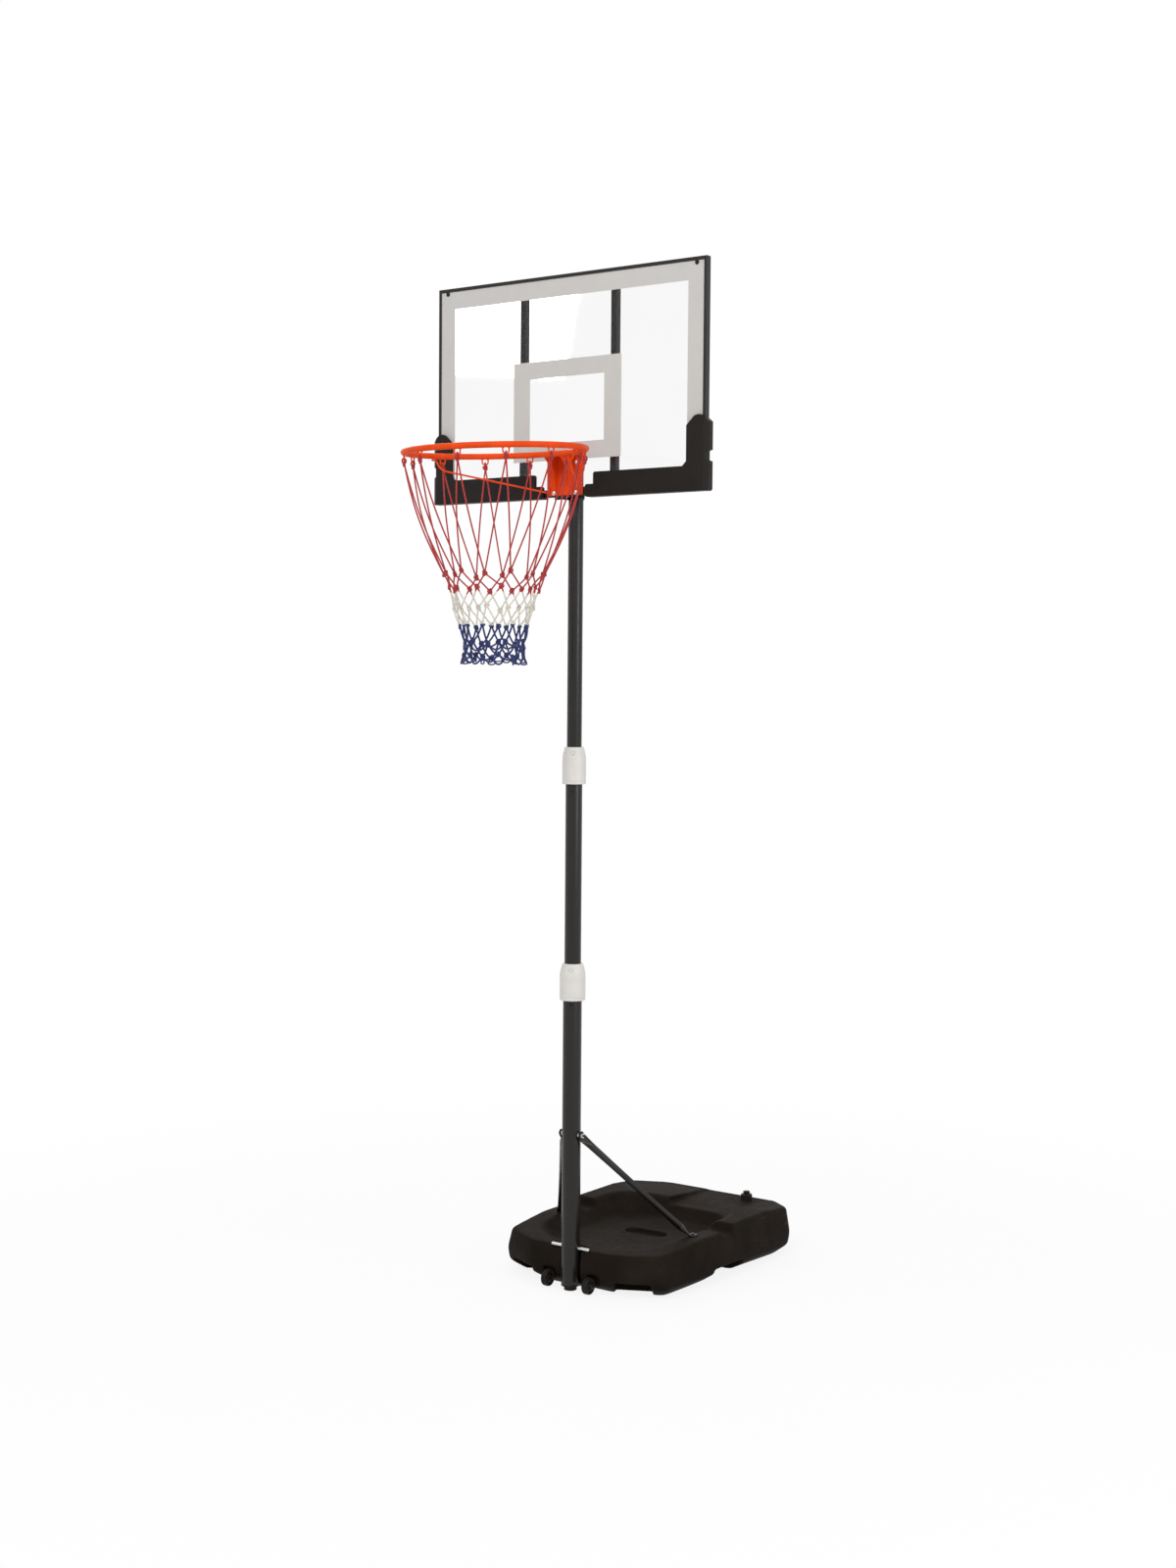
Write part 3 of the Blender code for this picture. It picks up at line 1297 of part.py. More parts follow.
def make_clamps(carrier, bracket, panel, bottom_rail):
    """Two straps round the pole, with four bolts through to the rim's bracket."""
    plate_front = BOARD_FRONT - GAP - BRACKET_THICKNESS
    wing_front = RAIL_BACK + GAP
    wing_back = wing_front + CLAMP_THICKNESS
    pieces = []
    for label, rise in (("upper", UPPER_CLAMP_HEIGHT), ("lower", LOWER_CLAMP_HEIGHT)):
        height = BOARD_BOTTOM + rise
        path = clamp_path()
        shape = bmesh.new()
        rows = [
            [shape.verts.new((x, y, height + way * CLAMP_HEIGHT / 2)) for x, y in path]
            for way in (-1, 1)
        ]
        for k in range(len(path) - 1):
            shape.faces.new((rows[0][k], rows[0][k + 1], rows[1][k + 1], rows[1][k]))
        clamp = from_bmesh("pole_clamp_" + label, shape, STEEL_BLACK)
        thicken = clamp.modifiers.new("thicken", "SOLIDIFY")
        thicken.thickness = CLAMP_THICKNESS
        thicken.offset = 0
        pieces.append(clamp)
        for side, way in ((-1, "left"), (1, "right")):
            x = side * CLAMP_BOLT_X
            head = plate_front - GAP
            tip = wing_back + GAP + NUT_HEIGHT + RIM_BOLT_TAIL
            hole = rod("rim_bolt_hole_%s_%s" % (label, way), BOLT_RADIUS + GAP, head - PAST,
                       tip + PAST, (x, 0, height), "Y")
            cut(clamp, hole)
            cut(bracket, hole)
            if label == "lower":
                cut(bottom_rail, hole)
            cut(panel, hole)
            pieces.append(bolt(
                "rim_bolt_%s_%s" % (label, way), (x, head, height), (x, tip, height), ZINC,
            ))
            pieces.append(nut(
                "rim_nut_%s_%s" % (label, way), (x, wing_back + GAP, height), (0, 1, 0), ZINC,
            ))
            if label == "upper":
                spacer = tube(
                    "rim_spacer_" + way, BOLT_HEAD_RADIUS, BOLT_RADIUS + GAP, PANEL_BACK + GAP,
                    wing_front - GAP, (x, 0, height), "Y", PLASTIC_BLACK, sides=16,
                )
                pieces.append(spacer)
    carry(carrier, *pieces)


def net_knots():
    """Rows of knot centres from the hooks down, each row turned half a mesh from the last."""
    rows = []
    top_drop = RIM_BAR_RADIUS + HOOK_DROP + HOOK_WIRE + NET_KNOT_HALF_HEIGHT + 2 * GAP
    for row, (radius, drop) in enumerate(zip(NET_RADII, NET_DROPS)):
        tilt = max(0.0, 1 - drop / NET_DROPS[1])
        knots = []
        for index in range(HOOKS):
            angle = math.tau * (index + 0.5 + 0.5 * (row % 2)) / HOOKS
            level = RIM_CENTRE + Vector((
                radius * math.cos(angle), radius * math.sin(angle), -top_drop - drop,
            ))
            tipped = rim_point(angle, radius, top_drop + drop)
            knots.append((level.lerp(tipped, tilt), angle))
        rows.append(knots)
    return rows


def make_net(carrier):
    """The net as one lattice of flat cords joined at knots, thickened to the cord."""
    rows = net_knots()
    shape = bmesh.new()
    corners = []
    for row, knots in enumerate(rows):
        above = rows[max(row - 1, 0)]
        below = rows[min(row + 1, len(rows) - 1)]
        line = []
        for index, (centre, angle) in enumerate(knots):
            across = Vector((-math.sin(angle), math.cos(angle), 0))
            inward = Vector((-math.cos(angle), -math.sin(angle), 0))
            fall = above[0][0].z - below[0][0].z
            shrink = NET_RADII[max(row - 1, 0)] - NET_RADII[min(row + 1, len(rows) - 1)]
            down = (Vector((0, 0, -fall)) + inward * shrink).normalized()
            line.append({
                "left": shape.verts.new(centre - across * NET_KNOT_HALF_WIDTH),
                "right": shape.verts.new(centre + across * NET_KNOT_HALF_WIDTH),
                "top": shape.verts.new(centre - down * NET_KNOT_HALF_HEIGHT),
                "bottom": shape.verts.new(centre + down * NET_KNOT_HALF_HEIGHT),
            })
        corners.append(line)
    for row, line in enumerate(corners):
        for index, knot in enumerate(line):
            shape.faces.new((knot["left"], knot["bottom"], knot["right"], knot["top"]))
            if row + 1 == len(corners):
                continue
            shift = row % 2
            right = corners[row + 1][(index + shift) % HOOKS]
            left = corners[row + 1][(index + shift - 1) % HOOKS]
            shape.faces.new((knot["bottom"], knot["right"], right["top"], right["left"]))
            shape.faces.new((knot["left"], knot["bottom"], left["right"], left["top"]))
    net = from_bmesh("net", shape, CORD)
    thicken = net.modifiers.new("thicken", "SOLIDIFY")
    thicken.thickness = NET_CORD
    thicken.offset = 0
    carry(carrier, net)


def main():
    """Builds the whole stand."""
    clear_scene()
    HOMES["parts"] = collection("basketball_stand")
    HOMES["cutters"] = collection("cutters")
    make_tank()
    make_filler()
    make_wheels()
    upper_body = make_pole()
    make_struts()
    panel, bottom_rail = make_board(upper_body)
    make_covers(upper_body, panel, bottom_rail)
    bracket = make_rim(upper_body)
    make_clamps(upper_body, bracket, panel, bottom_rail)
    make_net(upper_body)


main()
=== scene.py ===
"""Looks of a portable basketball stand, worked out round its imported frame.

Lengths are in metres. The origin is on the floor at the axis of the pole, X points to the right
of someone who faces the board, Y to the rear and Z up.
"""

import logging
import math
from collections.abc import Callable
from dataclasses import dataclass, field
from enum import Enum

import bmesh
import bpy
import numpy as np
from mathutils import Matrix, Vector


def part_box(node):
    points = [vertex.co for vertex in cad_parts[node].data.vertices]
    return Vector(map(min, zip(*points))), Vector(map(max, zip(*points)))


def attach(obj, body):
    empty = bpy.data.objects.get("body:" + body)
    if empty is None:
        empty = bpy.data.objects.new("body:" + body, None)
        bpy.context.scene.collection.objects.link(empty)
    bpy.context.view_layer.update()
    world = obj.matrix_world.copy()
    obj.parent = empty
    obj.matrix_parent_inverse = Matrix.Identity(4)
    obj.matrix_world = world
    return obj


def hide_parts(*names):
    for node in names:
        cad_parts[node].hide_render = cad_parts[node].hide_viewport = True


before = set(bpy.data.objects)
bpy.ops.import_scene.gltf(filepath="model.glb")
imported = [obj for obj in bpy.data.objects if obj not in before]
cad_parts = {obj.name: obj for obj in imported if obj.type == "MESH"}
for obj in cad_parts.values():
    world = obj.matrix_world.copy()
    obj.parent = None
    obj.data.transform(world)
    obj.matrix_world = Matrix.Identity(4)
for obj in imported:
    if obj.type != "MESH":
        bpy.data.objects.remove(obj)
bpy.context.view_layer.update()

LOG = logging.getLogger("stand")
TAU = math.tau
MERGE = 1e-6
CAD_MERGE = 2e-6
CAD_FLAT = math.radians(0.6)
BEVEL_ANGLE = math.radians(28)
CAD_CREASE = math.radians(40)
VOXEL_SMOOTHING = (0.5, 7)
NEARLY_HALF = 0.48
NO_CREASE = 180
WHITE = (1, 1, 1, 1)
UP = np.array([0, 0, 1.0])

Pair = tuple[float, float]
Triple = tuple[float, float, float]
Four = tuple[float, float, float, float]
Relief = Callable[[np.ndarray, np.ndarray, np.ndarray], np.ndarray]
Fed = bpy.types.NodeSocket | float | tuple


class Axis(Enum):
    """The direction that a turned piece's own axis points along."""

    X = 0
    Y = 1
    Z = 2


class Body(str, Enum):
    """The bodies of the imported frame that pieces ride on."""

    BASE = "stand_base"
    MIDDLE = "pole_middle"
    UPPER = "pole_upper"
    BUTTON_LOWER = "lock_button_lower"
    BUTTON_UPPER = "lock_button_upper"
    CAP = "filler_cap"
    WHEEL_LEFT = "wheel_left"
    WHEEL_RIGHT = "wheel_right"


SIDES = ((-1, "left"), (1, "right"))


# Surfaces


def ramp(value: np.ndarray, start: float, end: float) -> np.ndarray:
    """0 up to the start, 1 past the end, and even between them."""
    return np.clip((value - start) / (end - start), 0, 1)


def unit(vectors: np.ndarray) -> np.ndarray:
    """Vectors divided by their lengths, along the last axis."""
    return vectors / np.linalg.norm(vectors, axis=-1, keepdims=True)


def square_to(run: np.ndarray, vectors: np.ndarray) -> np.ndarray:
    """The part v - (v . r) r of each vector that is square to a unit vector r, as a unit vector."""
    return unit(vectors - run * np.sum(vectors * run, axis=-1, keepdims=True))


@dataclass
class Surface:
    """Points of a mesh, the quads between them, flat end faces, and UV pairs for the quads."""

    points: np.ndarray
    quads: np.ndarray
    caps: list[list[int]] = field(default_factory=list)
    uv: np.ndarray | None = None


def quad_grid(points: np.ndarray, around: bool = True, along: bool = False) -> Surface:
    """Quads over a grid of points p(i, j). Quad (i, j) joins p(i, j), p(i, j+1), p(i+1, j+1) and
    p(i+1, j), and indices wrap where the grid closes on itself.

    Args:
        points: array of rows by columns by 3.
        around: whether the last column joins the first.
        along: whether the last row joins the first.

    Returns:
        The grid as a surface.
    """
    rows, columns = points.shape[:2]
    i, j = np.meshgrid(
        np.arange(rows if along else rows - 1),
        np.arange(columns if around else columns - 1),
        indexing="ij",
    )
    after_i, after_j = (i + 1) % rows, (j + 1) % columns
    corners = (
        i * columns + j, i * columns + after_j,
        after_i * columns + after_j, after_i * columns + j,
    )
    return Surface(points.reshape(-1, 3), np.stack(corners, -1).reshape(-1, 4))


def joined(surfaces: list[Surface]) -> Surface:
    """Puts several surfaces into one, with each one's indices moved past those before it.

    Args:
        surfaces: the surfaces, all with UV pairs or all without.

    Returns:
        One surface with all their points and faces.
    """
    starts = np.cumsum([0] + [len(surface.points) for surface in surfaces])
    uvs = [surface.uv for surface in surfaces if surface.uv is not None]
    return Surface(
        np.concatenate([surface.points for surface in surfaces]),
        np.concatenate([surface.quads + at for surface, at in zip(surfaces, starts)]),
        [[int(k + at) for k in cap] for surface, at in zip(surfaces, starts)
         for cap in surface.caps],
        np.concatenate(uvs) if uvs else None,
    )


def eased(
    corners: np.ndarray, reach: float | np.ndarray, steps: int = 4, closed: bool = False
) -> np.ndarray:
    """Rounds the corners of a line. A corner P turns into the parabola
    (1-t)^2 A + 2 t (1-t) P + t^2 B, where A and B lie on its two edges at the given reach from P,
    or nearly half way where an edge is short.

    Args:
        corners: array of any leading shape, then corners by coordinates.
        reach: how far the rounding reaches along the edges, one value or one per corner.
        steps: number of pieces that each corner is drawn with.
        closed: whether the last corner joins the first.

    Returns:
        The rounded line, with steps + 1 points for each rounded corner.
    """
    reach = np.broadcast_to(reach, corners.shape[:-1])
    t = np.linspace(0, 1, steps + 1)[:, None]
    ends = []
    for way in (1, -1):
        edge = np.roll(corners, way, axis=-2) - corners
        length = np.maximum(np.linalg.norm(edge, axis=-1), MERGE)
        share = np.minimum(reach, NEARLY_HALF * length) / length
        ends.append((corners + edge * share[..., None])[..., None, :])
    curve = (1 - t) ** 2 * ends[0] + 2 * t * (1 - t) * corners[..., None, :] + t**2 * ends[1]
    if closed:
        return curve.reshape(*corners.shape[:-2], -1, corners.shape[-1])
    inner = curve[..., 1:-1, :, :].reshape(*corners.shape[:-2], -1, corners.shape[-1])
    return np.concatenate([corners[..., :1, :], inner, corners[..., -1:, :]], axis=-2)


def along_axis(across: np.ndarray, height: np.ndarray, up: np.ndarray, axis: Axis) -> np.ndarray:
    """Stacks two sideways coordinates and a height so that the height lies along the axis.

    Args:
        across: the first coordinate square to the axis.
        height: the coordinate along the axis.
        up: the second coordinate square to the axis.
        axis: the direction of the axis.

    Returns:
        Array of the inputs' shape by 3.
    """
    order = {Axis.Z: (across, up, height), Axis.X: (height, across, up),
             Axis.Y: (across, height, up)}
    return np.stack(order[axis], -1)


def lathe(
    profile: np.ndarray | list, at: tuple = (0, 0, 0), axis: Axis = Axis.Z, segments: int = 96,
    relief: Relief | None = None, closed: bool = False,
) -> Surface:
    """A profile turned about an axis: the point of height h at angle a lies at
    (r cos a, r sin a, h), where r is the profile's radius plus the relief at (a, h).

    Args:
        profile: radius and height pairs.
        at: a point on the axis.
        axis: the direction of the axis.
        segments: number of steps round the axis.
        relief: function of angle, radius and height arrays that gives what is added to the radius.
        closed: whether the profile's last point joins its first.

    Returns:
        The turned surface.
    """
    profile = np.asarray(profile, float)
    angle = np.linspace(0, TAU, segments, endpoint=False)[None, :]
    radius, height = profile[:, :1], profile[:, 1:]
    if relief is not None:
        radius = radius + relief(angle, radius, height)
    height = height + 0 * angle
    points = along_axis(radius * np.cos(angle), height, radius * np.sin(angle), axis)
    return quad_grid(points + np.asarray(at, float), along=closed)


def sweep(
    path: np.ndarray, reference: np.ndarray, radius: float | np.ndarray, sides: int = 12,
    closed: bool = False,
) -> Surface:
    """A round section carried along one path, or along many at once. The point at station i and
    angle a is p_i + r (cos a) n_i + r (sin a) b_i. Here n_i is the part of the reference
    direction that is square to the path, and b_i is square to both.

    Args:
        path: array of stations by 3, or of paths by stations by 3.
        reference: a direction that no path runs along, one or one per station.
        radius: the section's radius, one or one per station.
        sides: number of steps round the section.
        closed: whether each path's end joins its start.

    Returns:
        The tubes as one surface, with the distance along the path and the turn round it as UV.
    """
    path = np.asarray(path, float)
    if path.ndim == 2:
        path = path[None]
    if closed:
        run = np.roll(path, -1, axis=1) - np.roll(path, 1, axis=1)
    else:
        run = np.gradient(path, axis=1)
    run = unit(run)
    normal = square_to(run, np.broadcast_to(np.asarray(reference, float), path.shape))
    third = np.cross(run, normal)
    angle = np.linspace(0, TAU, sides, endpoint=False)
    size = np.broadcast_to(np.asarray(radius, float), path.shape[:2])[..., None, None]
    rings = path[:, :, None] + size * (
        normal[:, :, None] * np.cos(angle)[:, None] + third[:, :, None] * np.sin(angle)[:, None]
    )
    step = np.linalg.norm(np.diff(path, axis=1), axis=-1)
    gone = np.concatenate([np.zeros((len(path), 1)), np.cumsum(step, axis=1)], axis=1)
    if not closed:
        ends = np.repeat(path[:, :, None], sides, axis=2)
        rings = np.concatenate([ends[:, :1], rings, ends[:, -1:]], axis=1)
        gone = np.concatenate([gone[:, :1], gone, gone[:, -1:]], axis=1)
    one = quad_grid(rings[0], along=closed)
    stations = rings.shape[1]
    shift = (np.arange(len(path)) * stations * sides)[:, None, None]
    rows = stations if closed else stations - 1
    turn = np.broadcast_to(np.arange(sides)[None, :], (rows, sides)) / sides
    gone = np.concatenate([gone, gone[:, -1:] + step[:, -1:]], axis=1)
    here, after = gone[:, :rows], gone[:, 1:rows + 1]
    uv = np.empty((len(path), rows, sides, 4, 2))
    uv[..., 0] = np.stack([here, here, after, after], -1)[:, :, None, :]
    uv[..., 1] = np.stack([turn, turn + 1 / sides, turn + 1 / sides, turn], -1)[None]
    return Surface(
        rings.reshape(-1, 3), (one.quads[None] + shift).reshape(-1, 4), [], uv.reshape(-1, 4, 2)
    )


def bar(stations: np.ndarray | list) -> Surface:
    """A section carried through stations, with flat ends. Each station holds the section's
    corners in space.

    Args:
        stations: array of stations by corners by 3.

    Returns:
        The bar as a closed surface.
    """
    stations = np.asarray(stations, float)
    made = quad_grid(stations)
    count = stations.shape[1]
    last = (len(stations) - 1) * count
    made.caps = [list(range(count)), [last + k for k in range(count)][::-1]]
    return made


def turned_about_x(points: np.ndarray, angle: float) -> np.ndarray:
    """Turns points about the X axis: y' = y cos a - z sin a, z' = y sin a + z cos a.

    Args:
        points: array whose last axis holds X, Y and Z.
        angle: the angle in radians.

    Returns:
        The turned points.
    """
    x, y, z = np.moveaxis(points, -1, 0)
    return np.stack([x, y * np.cos(angle) - z * np.sin(angle),
                     y * np.sin(angle) + z * np.cos(angle)], -1)


def box_of(node: str) -> np.ndarray:
    """The lowest and highest corner of a CAD node as a 2 by 3 array."""
    return np.array([tuple(corner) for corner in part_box(node)])


def turned_node(node: str, axis: Axis) -> tuple[np.ndarray, float, float, float]:
    """Where a round CAD node lies, from its box.

    Args:
        node: the CAD node.
        axis: the axis that it is turned about.

    Returns:
        The point of its axis at height 0, its two ends along the axis, and its outer radius.
    """
    low, high = box_of(node)
    k = axis.value
    at = (low + high) / 2
    at[k] = 0
    return at, low[k], high[k], (high - low)[(k + 1) % 3] / 2


def points_of(mesh: bpy.types.Mesh) -> np.ndarray:
    """Reads a mesh's points.

    Args:
        mesh: the mesh.

    Returns:
        Array of points by 3.
    """
    points = np.empty(len(mesh.vertices) * 3)
    mesh.vertices.foreach_get("co", points)
    return points.reshape(-1, 3)


# Finishes


class Nodes:
    """Adds nodes to one node tree and links them."""

    def __init__(self, tree: bpy.types.NodeTree) -> None:
        """Keeps the tree that the nodes go into."""
        self.tree = tree

    def add(self, kind: str, inputs: dict | None = None, **settings: object) -> bpy.types.Node:
        """Adds a node.

        Args:
            kind: the node's type without its ShaderNode prefix.
            inputs: values or sockets for its inputs, by name or number.
            **settings: the node's own settings.

        Returns:
            The new node.
        """
        node = self.tree.nodes.new("ShaderNode" + kind)
        for key, value in settings.items():
            setattr(node, key, value)
        for key, value in (inputs or {}).items():
            self.feed(node.inputs[key], value)
        return node

    def feed(self, socket: bpy.types.NodeSocket, value: Fed) -> None:
        """Links a socket into an input, or sets the input's value.

        Args:
            socket: the input.
            value: the socket that is linked into it, or its value.
        """
        if isinstance(value, bpy.types.NodeSocket):
            self.tree.links.new(value, socket)
        else:
            socket.default_value = value

    def maths(self, operation: str, first: Fed, second: Fed = 0.0) -> bpy.types.NodeSocket:
        """The result of a Math node."""
        return self.add("Math", {0: first, 1: second}, operation=operation).outputs[0]


class Recipe(Nodes):
    """The nodes of one material."""

    def __init__(self, name: str) -> None:
        """Makes the material, and reads positions in the object's own coordinates.

        Args:
            name: the material's name.
        """
        self.material = bpy.data.materials.new(name)
        self.material.use_nodes = True
        super().__init__(self.material.node_tree)
        self.shader = self.tree.nodes["Principled BSDF"]
        self.place = self.add("TexCoord").outputs["Object"]

    def noise(
        self, size: float, detail: float = 3.0, stretch: Triple = (1, 1, 1)
    ) -> bpy.types.NodeSocket:
        """A noise by place.

        Args:
            size: about how wide its lumps are.
            detail: number of finer layers.
            stretch: how far the lumps are drawn out along each axis.

        Returns:
            The noise's value, between 0 and 1.
        """
        place = self.place
        if stretch != (1, 1, 1):
            shrink = tuple(1 / s for s in stretch)
            place = self.add("Mapping", {"Vector": place, "Scale": shrink}).outputs[0]
        made = self.add("TexNoise", {"Vector": place, "Scale": 1 / size, "Detail": detail})
        return made.outputs[0]

    def ranged(
        self, value: Fed, low: float, high: float, start: float = 0.3, end: float = 0.7
    ) -> bpy.types.NodeSocket:
        """Maps a value from start..end to low..high."""
        return self.add("MapRange", {"Value": value, "From Min": start, "From Max": end,
                                     "To Min": low, "To Max": high}).outputs[0]

    def mixed(
        self, share: Fed, first: Fed, second: Fed, blend: str = "MIX"
    ) -> bpy.types.NodeSocket:
        """A colour between two colours, by a share."""
        colours = {0: share, 6: first, 7: second}
        return self.add("Mix", colours, data_type="RGBA", blend_type=blend).outputs[2]

    def bumped(
        self, height: Fed, depth: float, below: bpy.types.NodeSocket | None = None
    ) -> bpy.types.NodeSocket:
        """A normal that tips where a height changes.

        Args:
            height: the height, between 0 and 1.
            depth: how high 1 stands, in metres.
            below: the normal of a coarser bump that this one lies on.

        Returns:
            The normal.
        """
        inputs = {"Height": height, "Distance": depth, "Strength": 1.0}
        if below is not None:
            inputs["Normal"] = below
        return self.add("Bump", inputs).outputs[0]


@dataclass(frozen=True)
class Finish:
    """A painted or moulded surface: its colour wanders slowly, its gloss varies, and its bump has
    a fine grain over a slow ripple.
    """

    name: str
    slot: str
    colour: Triple
    roughness: float
    metallic: float = 0.0
    specular: float = 0.5
    coat: float = 0.0
    mottle: float = 0.12
    mottle_size: float = 0.06
    gloss_spread: float = 0.06
    gloss_size: float = 0.02
    grain_size: float = 0.0009
    grain_depth: float = 0.00002
    ripple_size: float = 0.03
    ripple_depth: float = 0.00008
    stretch: Triple = (1, 1, 1)

    def material(self) -> bpy.types.Material:
        """Finds or makes the finish's material."""
        found = bpy.data.materials.get(self.name)
        return found or self.mixed_up().material

    def mixed_up(self) -> Recipe:
        """Makes the nodes that every plain finish has.

        Returns:
            The recipe, for a finish that adds more to it.
        """
        recipe = Recipe(self.name)
        shader = recipe.shader
        for socket, value in (("Metallic", self.metallic), ("Specular IOR Level", self.specular),
                              ("Coat Weight", self.coat)):
            shader.inputs[socket].default_value = value
        colour = np.array(self.colour)
        slow = recipe.noise(self.mottle_size, 4.0, self.stretch)
        dark, light = ((*np.clip(colour * (1 + way * self.mottle), 0, 1), 1) for way in (-1, 1))
        recipe.feed(shader.inputs["Base Color"],
                    recipe.mixed(recipe.ranged(slow, 0, 1), dark, light))
        gloss = recipe.noise(self.gloss_size, 5.0, self.stretch)
        recipe.feed(shader.inputs["Roughness"],
                    recipe.ranged(gloss, self.roughness - self.gloss_spread,
                                  self.roughness + self.gloss_spread))
        ripple = recipe.bumped(recipe.noise(self.ripple_size, 1.0), self.ripple_depth)
        grain = recipe.bumped(recipe.noise(self.grain_size, 2.0, self.stretch),
                              self.grain_depth, ripple)
        recipe.feed(shader.inputs["Normal"], grain)
        return recipe


@dataclass(frozen=True)
class ScuffedFinish(Finish):
    """A plain finish with faint pale rub marks drawn out along one axis."""

    scuff_colour: Triple = (0.09, 0.085, 0.08)
    scuff_share: float = 0.35
    scuff_size: float = 0.004
    scuff_stretch: Triple = (1, 1, 14)
    scuff_levels: Pair = (0.60, 0.80)
    patch_levels: Pair = (0.50, 0.65)

    def mixed_up(self) -> Recipe:
        """Adds the rub marks to the plain finish's colour.

        Returns:
            The recipe.
        """
        recipe = super().mixed_up()
        base = recipe.shader.inputs["Base Color"]
        plain = base.links[0].from_socket
        streaks = recipe.ranged(recipe.noise(self.scuff_size, 3.0, self.scuff_stretch),
                                0, self.scuff_share, *self.scuff_levels)
        patches = recipe.ranged(recipe.noise(self.mottle_size * 2), 0, 1, *self.patch_levels)
        share = recipe.maths("MULTIPLY", streaks, patches)
        recipe.feed(base, recipe.mixed(share, plain, (*self.scuff_colour, 1)))
        return recipe


@dataclass(frozen=True)
class ClearFinish(Finish):
    """Clear sheet that lets light through, with a faint haze in its gloss."""

    transmission: float = 1.0
    ior: float = 1.15

    def mixed_up(self) -> Recipe:
        """Makes the plain finish see-through.

        Returns:
            The recipe.
        """
        recipe = super().mixed_up()
        recipe.shader.inputs["Transmission Weight"].default_value = self.transmission
        recipe.shader.inputs["IOR"].default_value = self.ior
        return recipe


@dataclass(frozen=True)
class CordFinish(Finish):
    """Braided cord in three bands of colour by height, with the braid's crossing strands as bump
    along the cord's own UV map.
    """

    bands: tuple[tuple[float, Triple], ...] = ()
    band_range: Pair = (1.70, 2.30)
    braid_pitch: float = 0.006
    braid_depth: float = 0.0005
    fuzz_size: float = 0.004
    fuzz_dark: float = 0.75
    hair_size: float = 0.0007
    hair_depth: float = 0.0002
    sheen: float = 0.25

    def mixed_up(self) -> Recipe:
        """Adds the bands and the braid. The braid's height is the greater of
        sin(u - 2 v) and sin(u + 2 v), where u runs along the cord and v goes round it.

        Returns:
            The recipe.
        """
        recipe = super().mixed_up()
        split = recipe.add("SeparateXYZ", {0: recipe.place})
        low, high = self.band_range
        level = recipe.ranged(split.outputs[2], 0, 1, low, high)
        banded = recipe.add("ValToRGB", {0: level})
        banded.color_ramp.interpolation = "CONSTANT"
        elements = banded.color_ramp.elements
        while len(elements) < len(self.bands):
            elements.new(0.5)
        for element, (start, colour) in zip(elements, self.bands):
            element.position = max(0.0, (start - low) / (high - low))
            element.color = (*colour, 1)
        fuzz = recipe.ranged(recipe.noise(self.fuzz_size, 4.0), self.fuzz_dark, 1.0)
        grey = recipe.add("CombineXYZ", {0: fuzz, 1: fuzz, 2: fuzz})
        tone = recipe.mixed(1.0, banded.outputs[0], grey.outputs[0], "MULTIPLY")
        recipe.feed(recipe.shader.inputs["Base Color"], tone)
        cord = recipe.add("UVMap", uv_map="cord")
        uv = recipe.add("SeparateXYZ", {0: cord.outputs[0]})
        along = recipe.maths("MULTIPLY", uv.outputs[0], TAU / self.braid_pitch)
        turn = recipe.maths("MULTIPLY", uv.outputs[1], 2 * TAU)
        waves = [recipe.maths("SINE", recipe.maths(how, along, turn))
                 for how in ("ADD", "SUBTRACT")]
        braid = recipe.ranged(recipe.maths("MAXIMUM", *waves), 0, 1, -1, 1)
        normal = recipe.bumped(braid, self.braid_depth)
        recipe.feed(recipe.shader.inputs["Normal"],
                    recipe.bumped(recipe.noise(self.hair_size), self.hair_depth, normal))
        recipe.shader.inputs["Sheen Weight"].default_value = self.sheen
        return recipe


STEEL_BLACK = ScuffedFinish(
    "black_powder_coat", "black_steel", (0.0105, 0.0086, 0.0074), 0.31, specular=0.34,
    grain_size=0.0012, grain_depth=0.00004, ripple_depth=0.00003, scuff_share=0.25,
)
PLASTIC_TANK = ScuffedFinish(
    "black_blow_moulded", "black_plastic", (0.0135, 0.0098, 0.0072), 0.64, specular=0.03,
    mottle=0.30, mottle_size=0.11, grain_size=0.0011, grain_depth=0.00005, ripple_size=0.045,
    ripple_depth=0.0007, scuff_share=0.30, scuff_size=0.006, scuff_stretch=(1, 9, 1),
)
PLASTIC_BLACK = Finish(
    "black_moulded", "black_plastic", (0.0125, 0.0100, 0.0085), 0.48, specular=0.14, mottle=0.18,
    grain_size=0.0008, grain_depth=0.00004,
)
PLASTIC_WHITE = Finish(
    "white_moulded", "white_plastic", (0.66, 0.635, 0.595), 0.42, mottle=0.035,
    mottle_size=0.03, grain_depth=0.00001, ripple_depth=0.0001,
)
RUBBER = Finish("seal_rubber", "black_rubber", (0.016, 0.016, 0.016), 0.78, mottle=0.2)
ORANGE = Finish(
    "orange_powder_coat", "orange_paint", (0.74, 0.062, 0.006), 0.44, specular=0.08, mottle=0.10,
    mottle_size=0.04, grain_size=0.0012, grain_depth=0.00004,
)
ZINC = Finish(
    "bright_zinc", "zinc_steel", (0.62, 0.62, 0.60), 0.30, metallic=1.0, mottle=0.08,
    mottle_size=0.004, gloss_size=0.002, gloss_spread=0.10, grain_size=0.0005,
    grain_depth=0.000006, ripple_depth=0.00001,
)
CLEAR = ClearFinish(
    "clear_moulded_sheet", "clear_sheet", (0.935, 0.933, 0.933), 0.045, mottle=0.004,
    mottle_size=0.2, gloss_spread=0.02, grain_depth=0.0, ripple_size=0.25, ripple_depth=0.00012,
)
